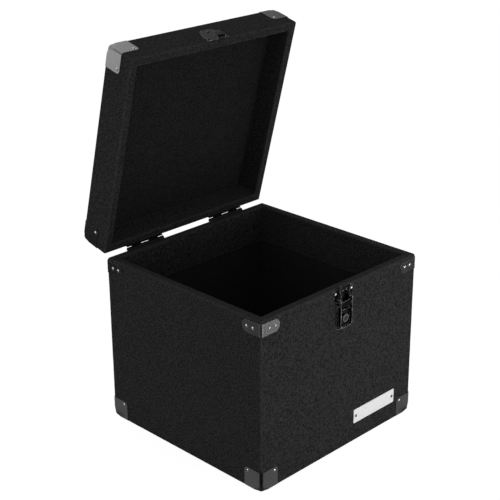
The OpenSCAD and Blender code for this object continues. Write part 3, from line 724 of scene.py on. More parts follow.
def ball_corner(point: Vector, corner: Vector, inward: Vector, depth: float) -> Vector:
    """Rounds a point near a corner of the case as the pressed guards are, widest at the corner itself.

    Args:
        point: the point in metres, with the case's faces square to the axes.
        corner: the corner of the guards' outer faces.
        inward: 1 or -1 on each axis, pointing into the case.
        depth: how far the point's surface lies under the guards' outer faces, in metres.

    Returns:
        The moved point.
    """
    spot = Vector([(point[i] - corner[i]) * inward[i] for i in range(3)])
    along = max(spot)
    if along > BALL_FAR:
        return point
    share = min(1.0, max(0.0, (BALL_FAR - along) / (BALL_FAR - BALL_NEAR)))
    radius = EDGE_R + (BALL_R - EDGE_R) * share * share * (3 - 2 * share)
    rest = Vector([max(radius - value, 0.0) for value in spot])
    if rest.length <= radius - depth:
        return point
    pulled = rest * ((radius - depth) / rest.length)
    moved = [radius - pulled[i] if rest[i] > 0.0 else spot[i] for i in range(3)]
    return Vector([corner[i] + inward[i] * moved[i] for i in range(3)])


def mark_rubbed_and_sheen_edges(bm: BMesh) -> None:
    """Notes on each point how sharply the surface turns there, where carpet rubs pale and where a painted
    sheen highlight lightens it.

    Args:
        bm: the mesh, with its normals pointing outwards.
    """
    layer = bm.verts.layers.float.new("rubbed")
    for vertex in bm.verts:
        turn = max(edge.calc_face_angle_signed(0.0) for edge in vertex.link_edges)
        vertex[layer] = min(1.0, max(0.0, (turn - RUB_SHEEN_LOW) / (RUB_SHEEN_HIGH - RUB_SHEEN_LOW)))


def loose_parts(node: str) -> list[list[Vector]]:
    """Splits a CAD node into the points of its separate solids.

    Args:
        node: the CAD node's name.

    Returns:
        The points of each solid.
    """
    bm = node_bmesh(node)
    seen, parts = set(), []
    for start in bm.verts:
        if start in seen:
            continue
        seen.add(start)
        stack, found = [start], [start.co.copy()]
        while stack:
            for edge in stack.pop().link_edges:
                for vertex in edge.verts:
                    if vertex not in seen:
                        seen.add(vertex)
                        stack.append(vertex)
                        found.append(vertex.co.copy())
        parts.append(found)
    bm.free()
    return sorted(parts, key=lambda part: tuple(round(value, 5) for value in sum(part, Vector()) / len(part)))


def stitch(bm: BMesh, rings: list[list], loop: bool = False) -> list[BMFace]:
    """Joins rings of points with faces. A ring of one point makes a fan.

    Args:
        bm: the mesh.
        rings: the rings in order.
        loop: whether the last ring joins the first.

    Returns:
        The new faces.
    """
    faces = []
    for low, high in zip(rings, rings[1:] + rings[:1] if loop else rings[1:]):
        count = max(len(low), len(high))
        for k in range(count):
            after = (k + 1) % count
            corners = (low[k % len(low)], low[after % len(low)], high[after % len(high)], high[k % len(high)])
            faces.append(bm.faces.new(list(dict.fromkeys(corners))))
    return faces


def lathe(profile: list[tuple[float, float]], steps: int) -> BMesh:
    """Turns a profile about the Z axis.

    Args:
        profile: radius and height of each point, from the axis to the axis.
        steps: faces round the axis.

    Returns:
        The closed mesh.
    """
    bm = bmesh.new()
    turns = [2 * math.pi * step / steps for step in range(steps)]
    rings = []
    for radius, height in profile:
        round_axis = [(radius * math.cos(t), radius * math.sin(t), height) for t in turns]
        rings.append([bm.verts.new(spot) for spot in (round_axis if radius else [(0.0, 0.0, height)])])
    stitch(bm, rings)
    bmesh.ops.recalc_face_normals(bm, faces=bm.faces)
    return bm


# Sub-assemblies


@dataclass
class CarpetShell:
    """Carpet round one half of the case, with rolled rims and a slightly uneven surface. Sizes in mm.

    It is drawn standing on z = 0 with its rim on top, and with closed the sheet also spans z = 0.
    """

    name: str
    width: float = 364.0
    depth: float = 352.0
    height: float = 293.0
    wrap: float = 66.5
    sheet: float = 2.75
    wall: float = 15.0
    edge_r: float = 3.5
    mouth_r: float = 3.0
    cut_r: float = 1.2
    pitch: float = 4.0
    swell: float = 0.22
    closed: bool = False
    press: float = 0.0
    press_reach: float = 36.2
    arc_steps: int = 6
    inner_corner_r: float = 1.6
    guard_t: float = 1.0

    def ring(self, inset: float) -> list[tuple[float, float]]:
        """Lays one ring of points at a distance inside the outer faces.

        Args:
            inset: the distance in mm.

        Returns:
            The ring's points, as many for every inset.
        """
        half_x, half_y = self.width / 2 - inset, self.depth / 2 - inset
        r = min(max(self.edge_r - inset, self.inner_corner_r), half_x, half_y)
        corners = [(1, 1), (-1, 1), (-1, -1), (1, -1)]

        def spot(corner: int, turn: float) -> tuple[float, float]:
            """Gives a point on a corner's arc."""
            sx, sy = corners[corner % 4]
            return (sx * (half_x - r) + r * math.cos(turn), sy * (half_y - r) + r * math.sin(turn))

        points = []
        for index, length in enumerate((self.width, self.depth, self.width, self.depth)):
            start = index * math.pi / 2
            points += [spot(index, start + QUARTER * k / (self.arc_steps - 1)) for k in range(self.arc_steps)]
            (x0, y0), (x1, y1) = points[-1], spot(index + 1, start + QUARTER)
            count = round(length / self.pitch)
            points += [(x0 + (x1 - x0) * k / count, y0 + (y1 - y0) * k / count) for k in range(1, count)]
        return points

    def profile(self) -> list[tuple[float, float, float]]:
        """Lists the section of the wall: inset, height and how far the surface may swell there.

        Returns:
            The points, from the bottom over the rim and back down behind the carpet.
        """
        top, r, mouth = self.height, self.edge_r, self.mouth_r
        turns = [QUARTER * k / self.arc_steps for k in range(self.arc_steps + 1)]
        span = self.depth / 2 - 2
        rows = []
        first = math.asin((r - self.sheet) / r)
        if self.closed:
            first = 0.0
            count = round((span - r) / (2 * self.pitch))
            rows += [(span - (span - r) * k / count, 0.0, 1.0) for k in range(count)]
        low_turns = [first + (QUARTER - first) * k / self.arc_steps for k in range(self.arc_steps + 1)]
        rows += [(r - r * math.sin(turn), r - r * math.cos(turn), 0.3) for turn in low_turns]
        count = round((top - 2 * r) / self.pitch)
        rows += [(0.0, r + (top - 2 * r) * k / count, 1.0) for k in range(1, count)]
        rows += [(r - r * math.cos(turn), top - r + r * math.sin(turn), 0.6) for turn in turns]
        inner = self.wall - mouth
        rows += [(r + (inner - r) * k / 3, top, 0.8) for k in (1, 2)]
        rows += [(inner + mouth * math.sin(t), top - mouth + mouth * math.cos(t), 0.6) for t in turns]
        cut = top - self.wrap
        count = max(2, round((self.wrap - mouth - self.cut_r) / self.pitch))
        step = (self.wrap - mouth - self.cut_r) / count
        rows += [(self.wall, top - mouth - step * k, 1.0) for k in range(1, count + 1)]
        back = self.wall - self.sheet
        rows += [(self.wall - 0.35, cut + 0.4, -1.0), (self.wall - self.cut_r, cut, -1.0)]
        rows += [(back, cut + 0.1, -1.0), (back, top - self.sheet, 0.0)]
        rows += [(self.sheet, top - self.sheet, 0.0), (self.sheet, self.sheet, 0.0)]
        if self.closed:
            rows += [(60.0, self.sheet, 0.0), (span, self.sheet, 0.0)]
        return rows

    def build(self, matrix: Matrix | None = None) -> Object:
        """Builds the shell.

        Args:
            matrix: moves the drawn shell, in metres, to its place in the frame.

        Returns:
            The shell.
        """
        bm = bmesh.new()
        rows = self.profile()
        rings = []
        for inset, z, swell in rows:
            rings.append([bm.verts.new(self.settle(x, y, z, swell)) for x, y in self.ring(inset)])
        if self.closed:
            bm.faces.new(rings[0])
            bm.faces.new(rings[-1])
        stitch(bm, rings, loop=not self.closed)
        bm.normal_update()
        bmesh.ops.recalc_face_normals(bm, faces=bm.faces)
        bm.normal_update()
        for (_, _, swell), ring in zip(rows, rings):
            for vertex in ring if swell > 0.0 else []:
                bump = noise.noise(vertex.co * 42.0) * 0.6 + noise.noise(vertex.co * 130.0) * 0.4
                vertex.co += vertex.normal * (bump * swell * self.swell * MM)
                vertex.co = self.under_guard(vertex.co)
        if matrix is not None:
            bm.transform(matrix)
        bmesh.ops.recalc_face_normals(bm, faces=bm.faces)
        mark_rubbed_and_sheen_edges(bm)
        return mesh_object(self.name, bm, sharp_deg=SOFT_SHARP)

    def under_guard(self, point: Vector) -> Vector:
        """Rounds a point that lies under a guard's ball corner.

        Args:
            point: the point in metres.

        Returns:
            The moved point.
        """
        sides = [1 if value > 0 else -1 for value in point.xy]
        half = [self.width / 2 + self.guard_t, self.depth / 2 + self.guard_t]
        low = self.press - self.guard_t
        corner = Vector((sides[0] * half[0], sides[1] * half[1], low)) * MM
        return ball_corner(point, corner, Vector((-sides[0], -sides[1], 1)), (self.guard_t + 0.05) * MM)

    def settle(self, x: float, y: float, z: float, swell: float) -> Point:
        """Moves a point where a guard presses the carpet in or where its cut edge wanders.

        Args:
            x: place across in mm.
            y: place front to rear in mm.
            z: height in mm.
            swell: the row's swell, below 0 on the cut edge.

        Returns:
            The point in metres.
        """
        reach = max(self.width / 2 - abs(x), self.depth / 2 - abs(y))
        if self.press and reach < self.press_reach and z < 2 * self.edge_r:
            z += self.press * (1 - z / (2 * self.edge_r))
        if swell < 0.0:
            wander = noise.noise(Vector((x, y, 0.0)) * 0.035)
            ragged = noise.noise(Vector((x, y, 5.0)) * 0.2)
            z += 0.5 * wander + 0.25 * ragged
        return (x * MM, y * MM, z * MM)


@dataclass
class SoftPlate:
    """Flat sheet or pad with rounded borders and a slightly uneven top. Sizes in mm."""

    name: str
    width: float
    depth: float
    low: float
    high: float
    round_r: float
    swell: float = 0.3
    pitch: float = 6.0
    press: float = 0.0
    press_reach: float = 36.2
    outer_w: float = 364.0
    outer_d: float = 352.0
    crown: float = 0.0

    def build(self, matrix: Matrix | None = None) -> Object:
        """Builds the plate.

        Args:
            matrix: moves the drawn plate, in metres, to its place in the frame.

        Returns:
            The plate.
        """
        bm = bmesh.new()
        wide, deep = round(self.width / self.pitch), round(self.depth / self.pitch)
        xs = [self.width * (i / wide - 0.5) for i in range(wide + 1)]
        ys = [self.depth * (j / deep - 0.5) for j in range(deep + 1)]
        grids = []
        for upper in (True, False):
            grid = [[bm.verts.new(self.surface(x, y, upper)) for y in ys] for x in xs]
            grids.append(grid)
            for i in range(wide):
                for j in range(deep):
                    bm.faces.new((grid[i][j], grid[i + 1][j], grid[i + 1][j + 1], grid[i][j + 1]))
        top, bottom = grids
        for i in range(wide):
            for j in (0, deep):
                bm.faces.new((top[i][j], top[i + 1][j], bottom[i + 1][j], bottom[i][j]))
        for j in range(deep):
            for i in (0, wide):
                bm.faces.new((top[i][j], top[i][j + 1], bottom[i][j + 1], bottom[i][j]))
        if matrix is not None:
            bm.transform(matrix)
        bmesh.ops.recalc_face_normals(bm, faces=bm.faces)
        return mesh_object(self.name, bm, sharp_deg=SOFT_SHARP)

    def surface(self, x: float, y: float, upper: bool) -> Point:
        """Gives a point of the plate's upper or lower face.

        Args:
            x: place across in mm.
            y: place front to rear in mm.
            upper: whether the point is on the upper face.

        Returns:
            The point in metres.
        """
        border = min(self.width / 2 - abs(x), self.depth / 2 - abs(y))
        dip = self.round_r * max(0.0, 1 - border / (2.2 * self.round_r)) ** 2
        if upper:
            rise = self.crown * math.cos(math.pi * x / self.width) * math.cos(math.pi * y / self.depth)
            ripple = self.swell * noise.noise(Vector((x, y, 3.0)) * 0.03)
            return (x * MM, y * MM, (self.high - dip + min(0.0, ripple - self.swell / 2) + rise) * MM)
        z = self.low
        reach = max(self.outer_w / 2 - abs(x), self.outer_d / 2 - abs(y))
        if self.press and reach < self.press_reach:
            z += self.press
            shell = CarpetShell("", width=self.outer_w, depth=self.outer_d, press=self.press)
            z = min(shell.under_guard(Vector((x, y, z)) * MM).z / MM, self.high - 0.05)
        return (x * MM, y * MM, z * MM)


@dataclass
class CarpetWork:
    """All the carpet, felt and padding of the case. Sizes in mm."""

    finishes: Finishes
    axis_y: float = 180.8
    axis_z: float = 290.9
    open_deg: float = 75.34
    lid_top: float = 350.0
    lid_height: float = 56.6
    lid_wrap: float = 44.35
    lid_roof: float = 335.0
    floor: float = 12.25
    wrap_edge: float = 226.5
    sheet: float = 2.75
    room_w: float = 334.0
    room_d: float = 322.0
    lining_w: float = 339.5
    lining_d: float = 327.5
    lining_t: float = 1.5
    lining_rows: int = 40
    lining_reach: float = 170.0
    pad_t: float = 4.0
    pad_gap: float = 0.5
    shell_w: float = 358.5
    shell_d: float = 346.5

    def lid_matrix(self, upside_down: bool) -> Matrix:
        """Gives the turn from the lid's drawn place to where it stands open.

        Args:
            upside_down: whether the piece is drawn standing on the lid's top.

        Returns:
            The matrix, in metres.
        """
        axis = Vector((0.0, self.axis_y * MM, self.axis_z * MM))
        turn = Matrix.Rotation(math.radians(-self.open_deg), 4, "X")
        opened = Matrix.Translation(axis) @ turn @ Matrix.Translation(-axis)
        if not upside_down:
            return opened
        flip = Matrix.Translation((0.0, 0.0, self.lid_top * MM)) @ Matrix.Scale(-1, 4, (0, 0, 1))
        return opened @ flip

    def build(self) -> None:
        """Builds and dresses the soft pieces."""
        carpet, lining, felt = self.finishes["carpet"], self.finishes["lid_lining"], self.finishes["felt"]
        base = CarpetShell("base_carpet", press=1.0).build()
        finish_piece(base, Body.BASE, Slot.CARPET, carpet, "base_cover")
        under = SoftPlate(
            "underside_carpet", self.shell_w, self.shell_d, 0.0, self.sheet, 0.3, 0.0, press=1.0,
        ).build()
        finish_piece(under, Body.BASE, Slot.CARPET, carpet, "base_underside")
        lid = CarpetShell("lid_carpet", height=self.lid_height, wrap=self.lid_wrap, closed=True)
        lid_piece = lid.build(self.lid_matrix(True))
        finish_piece(lid_piece, Body.LID, Slot.CARPET, carpet, "lid_cover")
        roof_high = self.lid_top - self.lid_roof
        # the lid's roof lining wears the darker carpet copy, which is painted shade of the lid's hollow
        roof = SoftPlate(
            "lid_lining_carpet", self.room_w, self.room_d, roof_high - self.sheet, roof_high, 0.9, 0.35,
        ).build(self.lid_matrix(True))
        finish_piece(roof, Body.LID, Slot.CARPET, lining, "lid_lining")
        self.lining(felt)
        inset = 2 * (self.lining_t + self.pad_gap)
        pad = SoftPlate(
            "floor_felt_pad", self.lining_w - inset, self.lining_d - inset, self.floor,
            self.floor + self.pad_t, 1.6, 0.4, crown=0.3,
        ).build()
        finish_piece(pad, Body.BASE, Slot.FELT, felt, "floor_pad")

    def lining(self, felt: Material) -> None:
        """Builds the felt round the inside below the carpet's edge.

        Args:
            felt: its material.
        """
        bm = bmesh.new()
        rings, rows = [], self.lining_rows
        for inner, order in ((False, range(rows + 1)), (True, range(rows, -1, -1))):
            cut = 2 * self.lining_t if inner else 0.0
            shell = CarpetShell(
                "", self.lining_w - cut, self.lining_d - cut, pitch=8.0, edge_r=1.2, inner_corner_r=1.2,
            )
            for k in order:
                z = self.floor + (self.wrap_edge - self.floor) * k / rows
                ring = []
                for x, y in shell.ring(0.0):
                    wave = 0.3 * noise.noise(Vector((x, y, z)) * 0.02) if inner and 0 < k < rows else 0.0
                    pull = 1 - wave / self.lining_reach
                    ring.append(bm.verts.new((x * pull * MM, y * pull * MM, z * MM)))
                rings.append(ring)
        stitch(bm, rings, loop=True)
        bmesh.ops.recalc_face_normals(bm, faces=bm.faces)
        piece = mesh_object("lining_felt", bm, sharp_deg=60)
        finish_piece(piece, Body.BASE, Slot.FELT, felt, "base_lining")


class Growth:
    """Geometry Nodes trees with named inputs, which grow pieces on points and paths."""

    def heads(self) -> NodeTree:
        """Makes the tree that stands a head on every point, turned by chance about its axis.

        Returns:
            The tree.
        """
        inputs = {
            "Geometry": "Geometry", "Head": "Object", "Size": "Float", "Seed": "Int", "Finish": "Material",
        }
        group = Group("stand_heads", inputs, ["Geometry"], "Geometry")
        given = group.given
        facing = group.add("GeometryNodeInputNamedAttribute", {"Name": "facing"}, data_type="FLOAT_VECTOR")
        heading = {"Vector": facing.outputs["Attribute"]}
        upright = group.add("FunctionNodeAlignRotationToVector", heading, axis="Z")
        limits = {2: 0.0, 3: 2 * math.pi, "Seed": given["Seed"]}
        chance = group.add("FunctionNodeRandomValue", limits, data_type="FLOAT")
        spin = group.add("FunctionNodeAxisAngleToRotation", {"Axis": (0, 0, 1), "Angle": chance.outputs[1]})
        turns = {"Rotation": upright.outputs[0], "Rotate By": spin.outputs[0]}
        turned = group.add("FunctionNodeRotateRotation", turns, rotation_space="LOCAL")
        head = group.add("GeometryNodeObjectInfo", {"Object": given["Head"]}, transform_space="ORIGINAL")
        stood = group.add(
            "GeometryNodeInstanceOnPoints",
            {
                "Points": given["Geometry"], "Instance": head.outputs[4], "Rotation": turned.outputs[0],
                "Scale": given["Size"],
            },
        )
        return self.painted(group, stood)

    def bar(self) -> NodeTree:
        """Makes the tree that runs a round bar of changing radius along a path.

        Returns:
            The tree.
        """
        inputs = {"Geometry": "Geometry", "Sides": "Int", "Finish": "Material"}
        group = Group("run_bar", inputs, ["Geometry"], "Geometry")
        path = group.add("GeometryNodeMeshToCurve", {0: group.given["Geometry"]})
        radius = group.add("GeometryNodeInputNamedAttribute", {"Name": "bar_radius"}, data_type="FLOAT")
        sizes = {"Resolution": group.given["Sides"], "Radius": 1.0}
        circle = group.add("GeometryNodeCurvePrimitiveCircle", sizes)
        run = group.add(
            "GeometryNodeCurveToMesh",
            {
                "Curve": path.outputs[0], "Profile Curve": circle.outputs[0],
                "Scale": radius.outputs["Attribute"], "Fill Caps": True,
            },
        )
        return self.painted(group, run)

    def painted(self, group: Group, last: Node) -> NodeTree:
        """Makes a node's geometry real, gives it the Finish and ends the group.

        Args:
            group: the group.
            last: the node that puts out the geometry.

        Returns:
            The group's tree.
        """
        real = group.add("GeometryNodeRealizeInstances", {"Geometry": last.outputs[0]})
        inputs = {"Geometry": real.outputs[0], "Material": group.given["Finish"]}
        return group.ended({"Geometry": group.add("GeometryNodeSetMaterial", inputs).outputs[0]})


class HeadShape(Enum):
    """Shapes of fastener heads."""

    RAISED = "raised"
    FLUSH = "flush"
    RIVET = "rivet"


@dataclass
class Fasteners:
    """Screws and rivets of the case. Each group stands where the frame has its solids. Sizes in mm."""

    finishes: Finishes
    head_r: float = 2.7
    head_h: float = 1.4
    shank_r: float = 1.5
    recess_r: float = 1.35
    recess_w: float = 0.36
    recess_d: float = 0.95
    steps: int = 24
    sharp_deg: float = 50.0
    seat_margin: float = 0.9

    def head(self, shape: HeadShape) -> Object:
        """Builds the pattern head that is stood on every point.

        Args:
            shape: the head's shape.

        Returns:
            The head, with its seat at the origin and its axis on Z.
        """
        r, h = self.head_r * MM, self.head_h * MM
        if shape is HeadShape.FLUSH:
            profile = [(0.0, 0.0), (r * 0.93, 0.0), (r, -0.15 * MM), (self.shank_r * MM, -h), (0.0, -h)]
        elif shape is HeadShape.RIVET:
            turns = (0.0, 0.35, 0.7, 1.05, 1.35)
            crown = [(r * math.cos(t), h * 0.12 + h * 0.85 * math.sin(t)) for t in turns]
            profile = [(0.0, -0.2 * MM), (r, -0.2 * MM)] + crown + [(0.0, h * 0.97)]
        else:
            ball = (r * r + h * h) / (2 * h)
            slope = math.asin(r / ball)
            turns = [slope * (1 - k / 6) for k in range(6)]
            crown = [(ball * math.sin(t), h - ball * (1 - math.cos(t))) for t in turns]
            profile = [(0.0, -0.3 * MM), (r, -0.3 * MM)] + crown + [(0.0, h)]
        obj = mesh_object(f"pattern_{shape.value}", lathe(profile, self.steps), self.sharp_deg)
        if shape is not HeadShape.RIVET:
            self.cut_recess(obj, 0.0 if shape is HeadShape.FLUSH else h)
        return obj

    def cut_recess(self, obj: Object, top: float) -> None:
        """Cuts a cross recess into a head.

        Args:
            obj: the head.
            top: height of its top in metres.
        """
        bm = bmesh.new()
        outline = []
        arm, half = self.recess_r * MM, self.recess_w * MM
        for quarter in range(4):
            turn = Matrix.Rotation(quarter * math.pi / 2, 3, "Z")
            outline += [turn @ Vector(p) for p in ((half, half, 0), (half, arm, 0), (-half, arm, 0))]
        low = top - self.recess_d * MM
        bottom = [bm.verts.new((p.x * 0.5, p.y * 0.5, low)) for p in outline]
        upper = [bm.verts.new((p.x, p.y, top + 0.3 * MM)) for p in outline]
        stitch(bm, [bottom, upper])
        bm.faces.new(bottom)
        bm.faces.new(upper)
        bmesh.ops.recalc_face_normals(bm, faces=bm.faces)
        cutter = mesh_object("recess_cutter", bm)
        cut = obj.modifiers.new("recess", "BOOLEAN")
        cut.operation = "DIFFERENCE"
        cut.solver = "EXACT"
        cut.object = cutter
        baked(obj)
        bpy.data.objects.remove(cutter)
        obj.data.set_sharp_from_angle(angle=math.radians(self.sharp_deg))

    def seats(self, node: str) -> list[tuple[Vector, Vector]]:
        """Finds where each fastener of a node sits and which way it faces.

        Args:
            node: the CAD node's name.

        Returns:
            The seat and the outward direction of each.
        """
        found = []
        for points in loose_parts(node):
            middle = sum(points, Vector()) / len(points)
            far = max(points, key=lambda p: (p - middle).length)
            axis = self.long_axis(points, (far - middle).normalized())
            spans = [(p - middle).dot(axis) for p in points]
            reach = (self.shank_r + self.seat_margin) * MM
            wide = [s for p, s in zip(points, spans) if (p - middle - axis * s).length > reach]
            if sum(wide) / len(wide) < (min(spans) + max(spans)) / 2:
                axis, spans, wide = -axis, [-s for s in spans], [-s for s in wide]
            seat = max(spans) if self.is_flush(axis, node) else min(wide)
            found.append((middle + axis * seat, axis))
        return found

    def is_flush(self, axis: Vector, node: str) -> bool:
        """Tells whether a screw of a node faces the floor and so lies flush."""
        return node == "base_guard_screws" and axis.z < -0.9

    def long_axis(self, points: list[Vector], guess: Vector) -> Vector:
        """Finds the axis of a turned solid.

        Args:
            points: its points.
            guess: a direction near the axis.

        Returns:
            The axis.
        """
        middle = sum(points, Vector()) / len(points)
        axis = guess
        for _ in range(40):
            axis = sum(((p - middle) * (p - middle).dot(axis) for p in points), Vector()).normalized()
        return axis

    def stand(
        self, tree: NodeTree, heads: dict, node: str, name: str, body: Body, shape: HeadShape, finish: str
    ) -> None:
        """Stands a head on every seat of a node.

        Args:
            tree: the Geometry Nodes tree.
            heads: the pattern heads by shape.
            node: the CAD node that the screws replace.
            name: the piece's name.
            body: the body that carries it.
            shape: the heads' shape.
            finish: key of their finish.
        """
        seats = self.seats(node)
        groups = {shape: [s for s in seats if not self.is_flush(s[1], node)]}
        groups[HeadShape.FLUSH] = [s for s in seats if self.is_flush(s[1], node)]
        pieces = []
        for number, (kind, places) in enumerate(groups.items()):
            if places:
                values = {
                    "Head": heads[kind], "Size": 1.0, "Seed": SEED + number, "Finish": self.finishes[finish],
                }
                title = f"{name}_flush" if number else name
                spots, facing = zip(*places)
                pieces.append(grown(title, spots, [], "facing", facing, tree, values))
        for piece in pieces:
            finish_piece(piece, body, Slot.SCREW, self.finishes[finish], node)

    def build(self) -> None:
        """Builds and dresses every group of fasteners."""
        tree = Growth().heads()
        heads = {shape: self.head(shape) for shape in HeadShape}
        screws = [
            ("base_guard", Body.BASE, "screw"), ("rim_bracket", Body.BASE, "screw"),
            ("base_leaf", Body.BASE, "black_screw"), ("latch_plate", Body.BASE, "screw"),
            ("nameplate", Body.BASE, "black_screw"), ("lid_guard", Body.LID, "screw"),
            ("lid_leaf", Body.LID, "black_screw"), ("keeper", Body.LID, "black_screw"),
        ]
        for stem, body, finish in screws:
            self.stand(tree, heads, f"{stem}_screws", f"{stem}_screw_heads", body, HeadShape.RAISED, finish)
        rivets = "handle_bracket_rivets"
        self.stand(tree, heads, rivets, "handle_bracket_rivet_heads", Body.LID, HeadShape.RIVET, "screw")
        for obj in heads.values():
            bpy.data.objects.remove(obj)


@dataclass
class MetalWork:
    """Guards, brackets, hinges, latch, lock and nameplate, with their hard edges eased. Sizes in mm."""

    finishes: Finishes
    opened: Matrix
    sheet_ease: float = 0.25
    fine_ease: float = 0.15
    half_w: float = 182.0
    half_d: float = 176.0
    lid_top: float = 350.0
    guard_t: float = 1.0
    cuts: tuple[float, ...] = (3.0, 4.5, 6.0, 7.5, 9.0, 10.5, 12.0, 14.0, 16.0, 18.0)

    def build(self) -> None:
        """Builds and dresses the metal pieces."""
        for corner in [f"{side}_{hand}" for side in ("front", "rear") for hand in HANDS]:
            self.guard(f"base_guard_{corner}", Body.BASE, Matrix.Identity(4), 0.0)
            self.guard(f"lid_guard_{corner}", Body.LID, self.opened, self.lid_top + self.guard_t)
            self.dress(f"rim_bracket_{corner}", Body.BASE, Slot.GUNMETAL, "gunmetal", self.sheet_ease)
        for hand in HANDS:
            self.dress(f"base_leaf_{hand}", Body.BASE, Slot.GUNMETAL, "hinge", self.sheet_ease)
            self.dress(f"lid_leaf_{hand}", Body.LID, Slot.GUNMETAL, "hinge", self.sheet_ease)
            self.dress(f"handle_bracket_{hand}", Body.LID, Slot.GUNMETAL, "gunmetal", self.sheet_ease)
        fittings = [
            ("hinge_pins", Body.BASE, Slot.GUNMETAL, "hinge"),
            ("handle_pins", Body.LID, Slot.GUNMETAL, "gunmetal"),
            ("latch_plate", Body.BASE, Slot.LATCH, "latch"), ("lever_pivots", Body.BASE, Slot.LATCH, "pin"),
            ("latch_lever", Body.LEVER, Slot.LATCH, "latch"), ("claw_pin", Body.LEVER, Slot.LATCH, "pin"),
            ("latch_claw", Body.CLAW, Slot.LATCH, "latch"), ("keeper", Body.LID, Slot.LATCH, "latch"),
            ("lock_housing", Body.LEVER, Slot.LOCK, "pin"), ("lock_cylinder", Body.LOCK, Slot.LOCK, "lock"),
            ("lock_cam", Body.LOCK, Slot.LOCK, "lock"), ("nameplate", Body.BASE, Slot.NAMEPLATE, "nameplate"),
        ]
        for node, body, slot, finish in fittings:
            self.dress(node, body, slot, finish, self.fine_ease)

    def guard(self, node: str, body: Body, turned: Matrix, face_z: float) -> None:
        """Presses a guard's point into a ball and gives it its finish.

        Args:
            node: the CAD node's name.
            body: the body that carries it.
            turned: turns the guard from the closed case to its place in the frame.
            face_z: height of its flat flange's outer face on the closed case, in mm.
        """
        bm = merged_copy(node)
        bm.transform(turned.inverted())
        middle = sum((vertex.co for vertex in bm.verts), Vector()) / len(bm.verts)
        inward = Vector((-1 if middle.x > 0 else 1, -1 if middle.y > 0 else 1, -1 if face_z else 1))
        half_w, half_d = self.half_w + self.guard_t, self.half_d + self.guard_t
        corner = Vector((-inward.x * half_w, -inward.y * half_d, face_z))
        corner *= MM
        for axis in range(3):
            for cut in self.cuts:
                at, normal = corner.copy(), Vector((0.0, 0.0, 0.0))
                at[axis] += inward[axis] * cut * MM
                normal[axis] = 1.0
                geometry = bm.verts[:] + bm.edges[:] + bm.faces[:]
                bmesh.ops.bisect_plane(bm, geom=geometry, dist=MERGE, plane_co=at, plane_no=normal)
        for vertex in bm.verts:
            rest = [max(EDGE_R - (vertex.co[i] - corner[i]) * inward[i], 0.0) for i in range(3)]
            vertex.co = ball_corner(vertex.co, corner, inward, max(0.0, EDGE_R - Vector(rest).length))
        bm.transform(turned)
        piece = eased_mesh(bm, f"{node}_metal", self.sheet_ease * MM)
        finish_piece(piece, body, Slot.GUNMETAL, self.finishes["gunmetal"], node)

    def dress(self, node: str, body: Body, slot: Slot, finish: str, ease: float) -> None:
        """Eases one CAD node's edges and gives it its finish.

        Args:
            node: the CAD node's name.
            body: the body that carries it.
            slot: the record's slot.
            finish: key of its finish.
            ease: radius of the eased edges in mm.
        """
        piece = eased_mesh(merged_copy(node), f"{node}_metal", ease * MM)
        finish_piece(piece, body, slot, self.finishes[finish], node)


